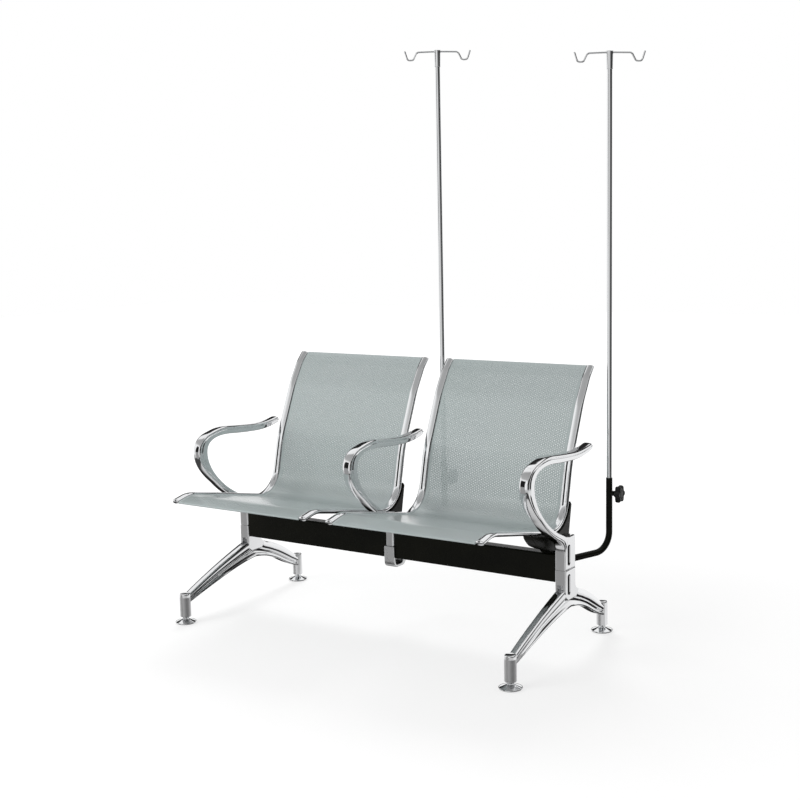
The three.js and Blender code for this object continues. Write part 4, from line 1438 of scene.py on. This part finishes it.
def add_panel_light(name, place, target, size, power):
    """A rectangular soft light at a place in bench millimetres, facing a target."""
    data = bpy.data.lights.new(name, "AREA")
    data.shape = "RECTANGLE"
    data.size, data.size_y = size
    data.energy = power
    light = linked(name, data)
    place = Vector((DATUM + np.array(place)) * MM)
    target = Vector((DATUM + np.array(target)) * MM)
    facing = (target - place).to_track_quat("-Z", "Y").to_matrix().to_4x4()
    light.matrix_world = Matrix.Translation(place) @ facing
    hide_from(light, "camera", "glossy")


def greys(*stops):
    """Colour ramp stops from (position, brightness) pairs."""
    return [(position, (value, value, value)) for position, value in stops]


class Room(Graph):
    """Bands and patches of the studio round the bench, by the direction of a ray."""

    def band(self, source, low, high, soft):
        """1 between low and high, with soft edges."""
        rise = self.between(source, low - soft, low + soft, curve="SMOOTHSTEP")
        fall = self.between(source, high - soft, high + soft, curve="SMOOTHSTEP")
        return self.math("SUBTRACT", rise, fall)

    def patch(self, bearing, degrees, rise, heights, soft):
        """1 in a window between two bearings and two heights."""
        low, high = (math.radians(edge) for edge in degrees)
        return self.product(self.band(bearing, low, high, soft[0]), self.band(rise, *heights, soft[1]))

    def shade(self, seen, factor, value):
        return self.blend(factor, seen, (value, value, value, 1))


def add_world():
    """A white cyclorama to the eye, an even light, and a studio with flags in reflections."""
    world = bpy.data.worlds.new("studio")
    world.use_nodes = True
    world.node_tree.nodes.clear()
    room = Room(world.node_tree)
    right, away, rise = room.parts(room.node("ShaderNodeTexCoord").outputs["Generated"])
    bearing = room.math("ARCTAN2", away, right)
    height = room.math("MULTIPLY_ADD", rise, 0.5, 0.5)
    around = room.math("MULTIPLY_ADD", bearing, 0.5 / math.pi, 0.5)
    # Behind the bench by height: floor, a dark edge, the lit wall, a dark gap, soft boxes.
    behind = room.ramp(height, greys(
        (0.0, 0.7), (0.08, 0.5), (0.13, 0.02), (0.27, 0.02), (0.3, 0.85), (0.63, 0.9),
        (0.655, 0.02), (0.79, 0.02), (0.82, 1.0), (0.95, 0.9),
    ))
    # In front of it the same floor and edge, then one wide soft box that fades overhead.
    ahead = room.ramp(height, greys(
        (0.0, 0.7), (0.1, 0.6), (0.13, 0.06), (0.27, 0.06), (0.31, 0.55), (0.62, 0.8),
        (0.66, 1.0), (0.74, 0.95), (0.8, 0.45), (1.0, 0.35),
    ))
    by_height = room.blend(room.between(away, -0.12, 0.12, curve="SMOOTHSTEP"), ahead, behind)
    # Round the horizon from the bench's left: the front is at 0.25, right at 0.5, rear at 0.75.
    by_bearing = room.ramp(around, greys(
        (0.0, 0.95), (0.08, 1.0), (0.22, 1.0), (0.3, 0.6), (0.38, 0.25), (0.45, 0.04),
        (0.61, 0.03), (0.64, 0.9), (0.7, 1.0), (1.0, 0.95),
    ))
    seen = room.blend(room.band(rise, -0.24, 0.26, 0.05), by_height, by_bearing)
    # Flags, by bearing, height, edge softness and brightness: a dark one above the horizon on
    # the right, and a narrow one in front on the left, lighter below the horizon.
    for degrees, heights, soft, value in (
        ((-60, 15), (0.1, 0.5), (0.05, 0.04), 0.05),
        ((-136, -112), (-0.5, -0.03), (0.03, 0.02), 0.32),
        ((-136, -112), (-0.03, 0.45), (0.03, 0.02), 0.015),
    ):
        seen = room.shade(seen, room.patch(bearing, degrees, rise, heights, soft), value)
    path = room.node("ShaderNodeLightPath")
    even = room.ramp(height, greys((0.0, 0.2), (0.4, 0.7), (0.5, 1.25), (0.7, 0.5), (1.0, 0.28)))
    seen = room.blend(path.outputs["Is Diffuse Ray"], seen, even)
    seen = room.shade(seen, path.outputs["Is Camera Ray"], 1.0)
    background = room.node("ShaderNodeBackground")
    room.feed(background.inputs["Color"], seen)
    output = room.node("ShaderNodeOutputWorld")
    room.feed(output.inputs["Surface"], background.outputs["Background"])
    bpy.context.scene.world = world


add_floor()
add_world()
add_panel_light("key", (-1300, 1500, 2600), (0, 0, 300), (1.2, 1.2), 40)
add_panel_light("fill", (-1400, -3200, 1900), (0, 0, 600), (2.4, 1.6), 66)
bpy.context.scene.view_settings.view_transform = "Standard"
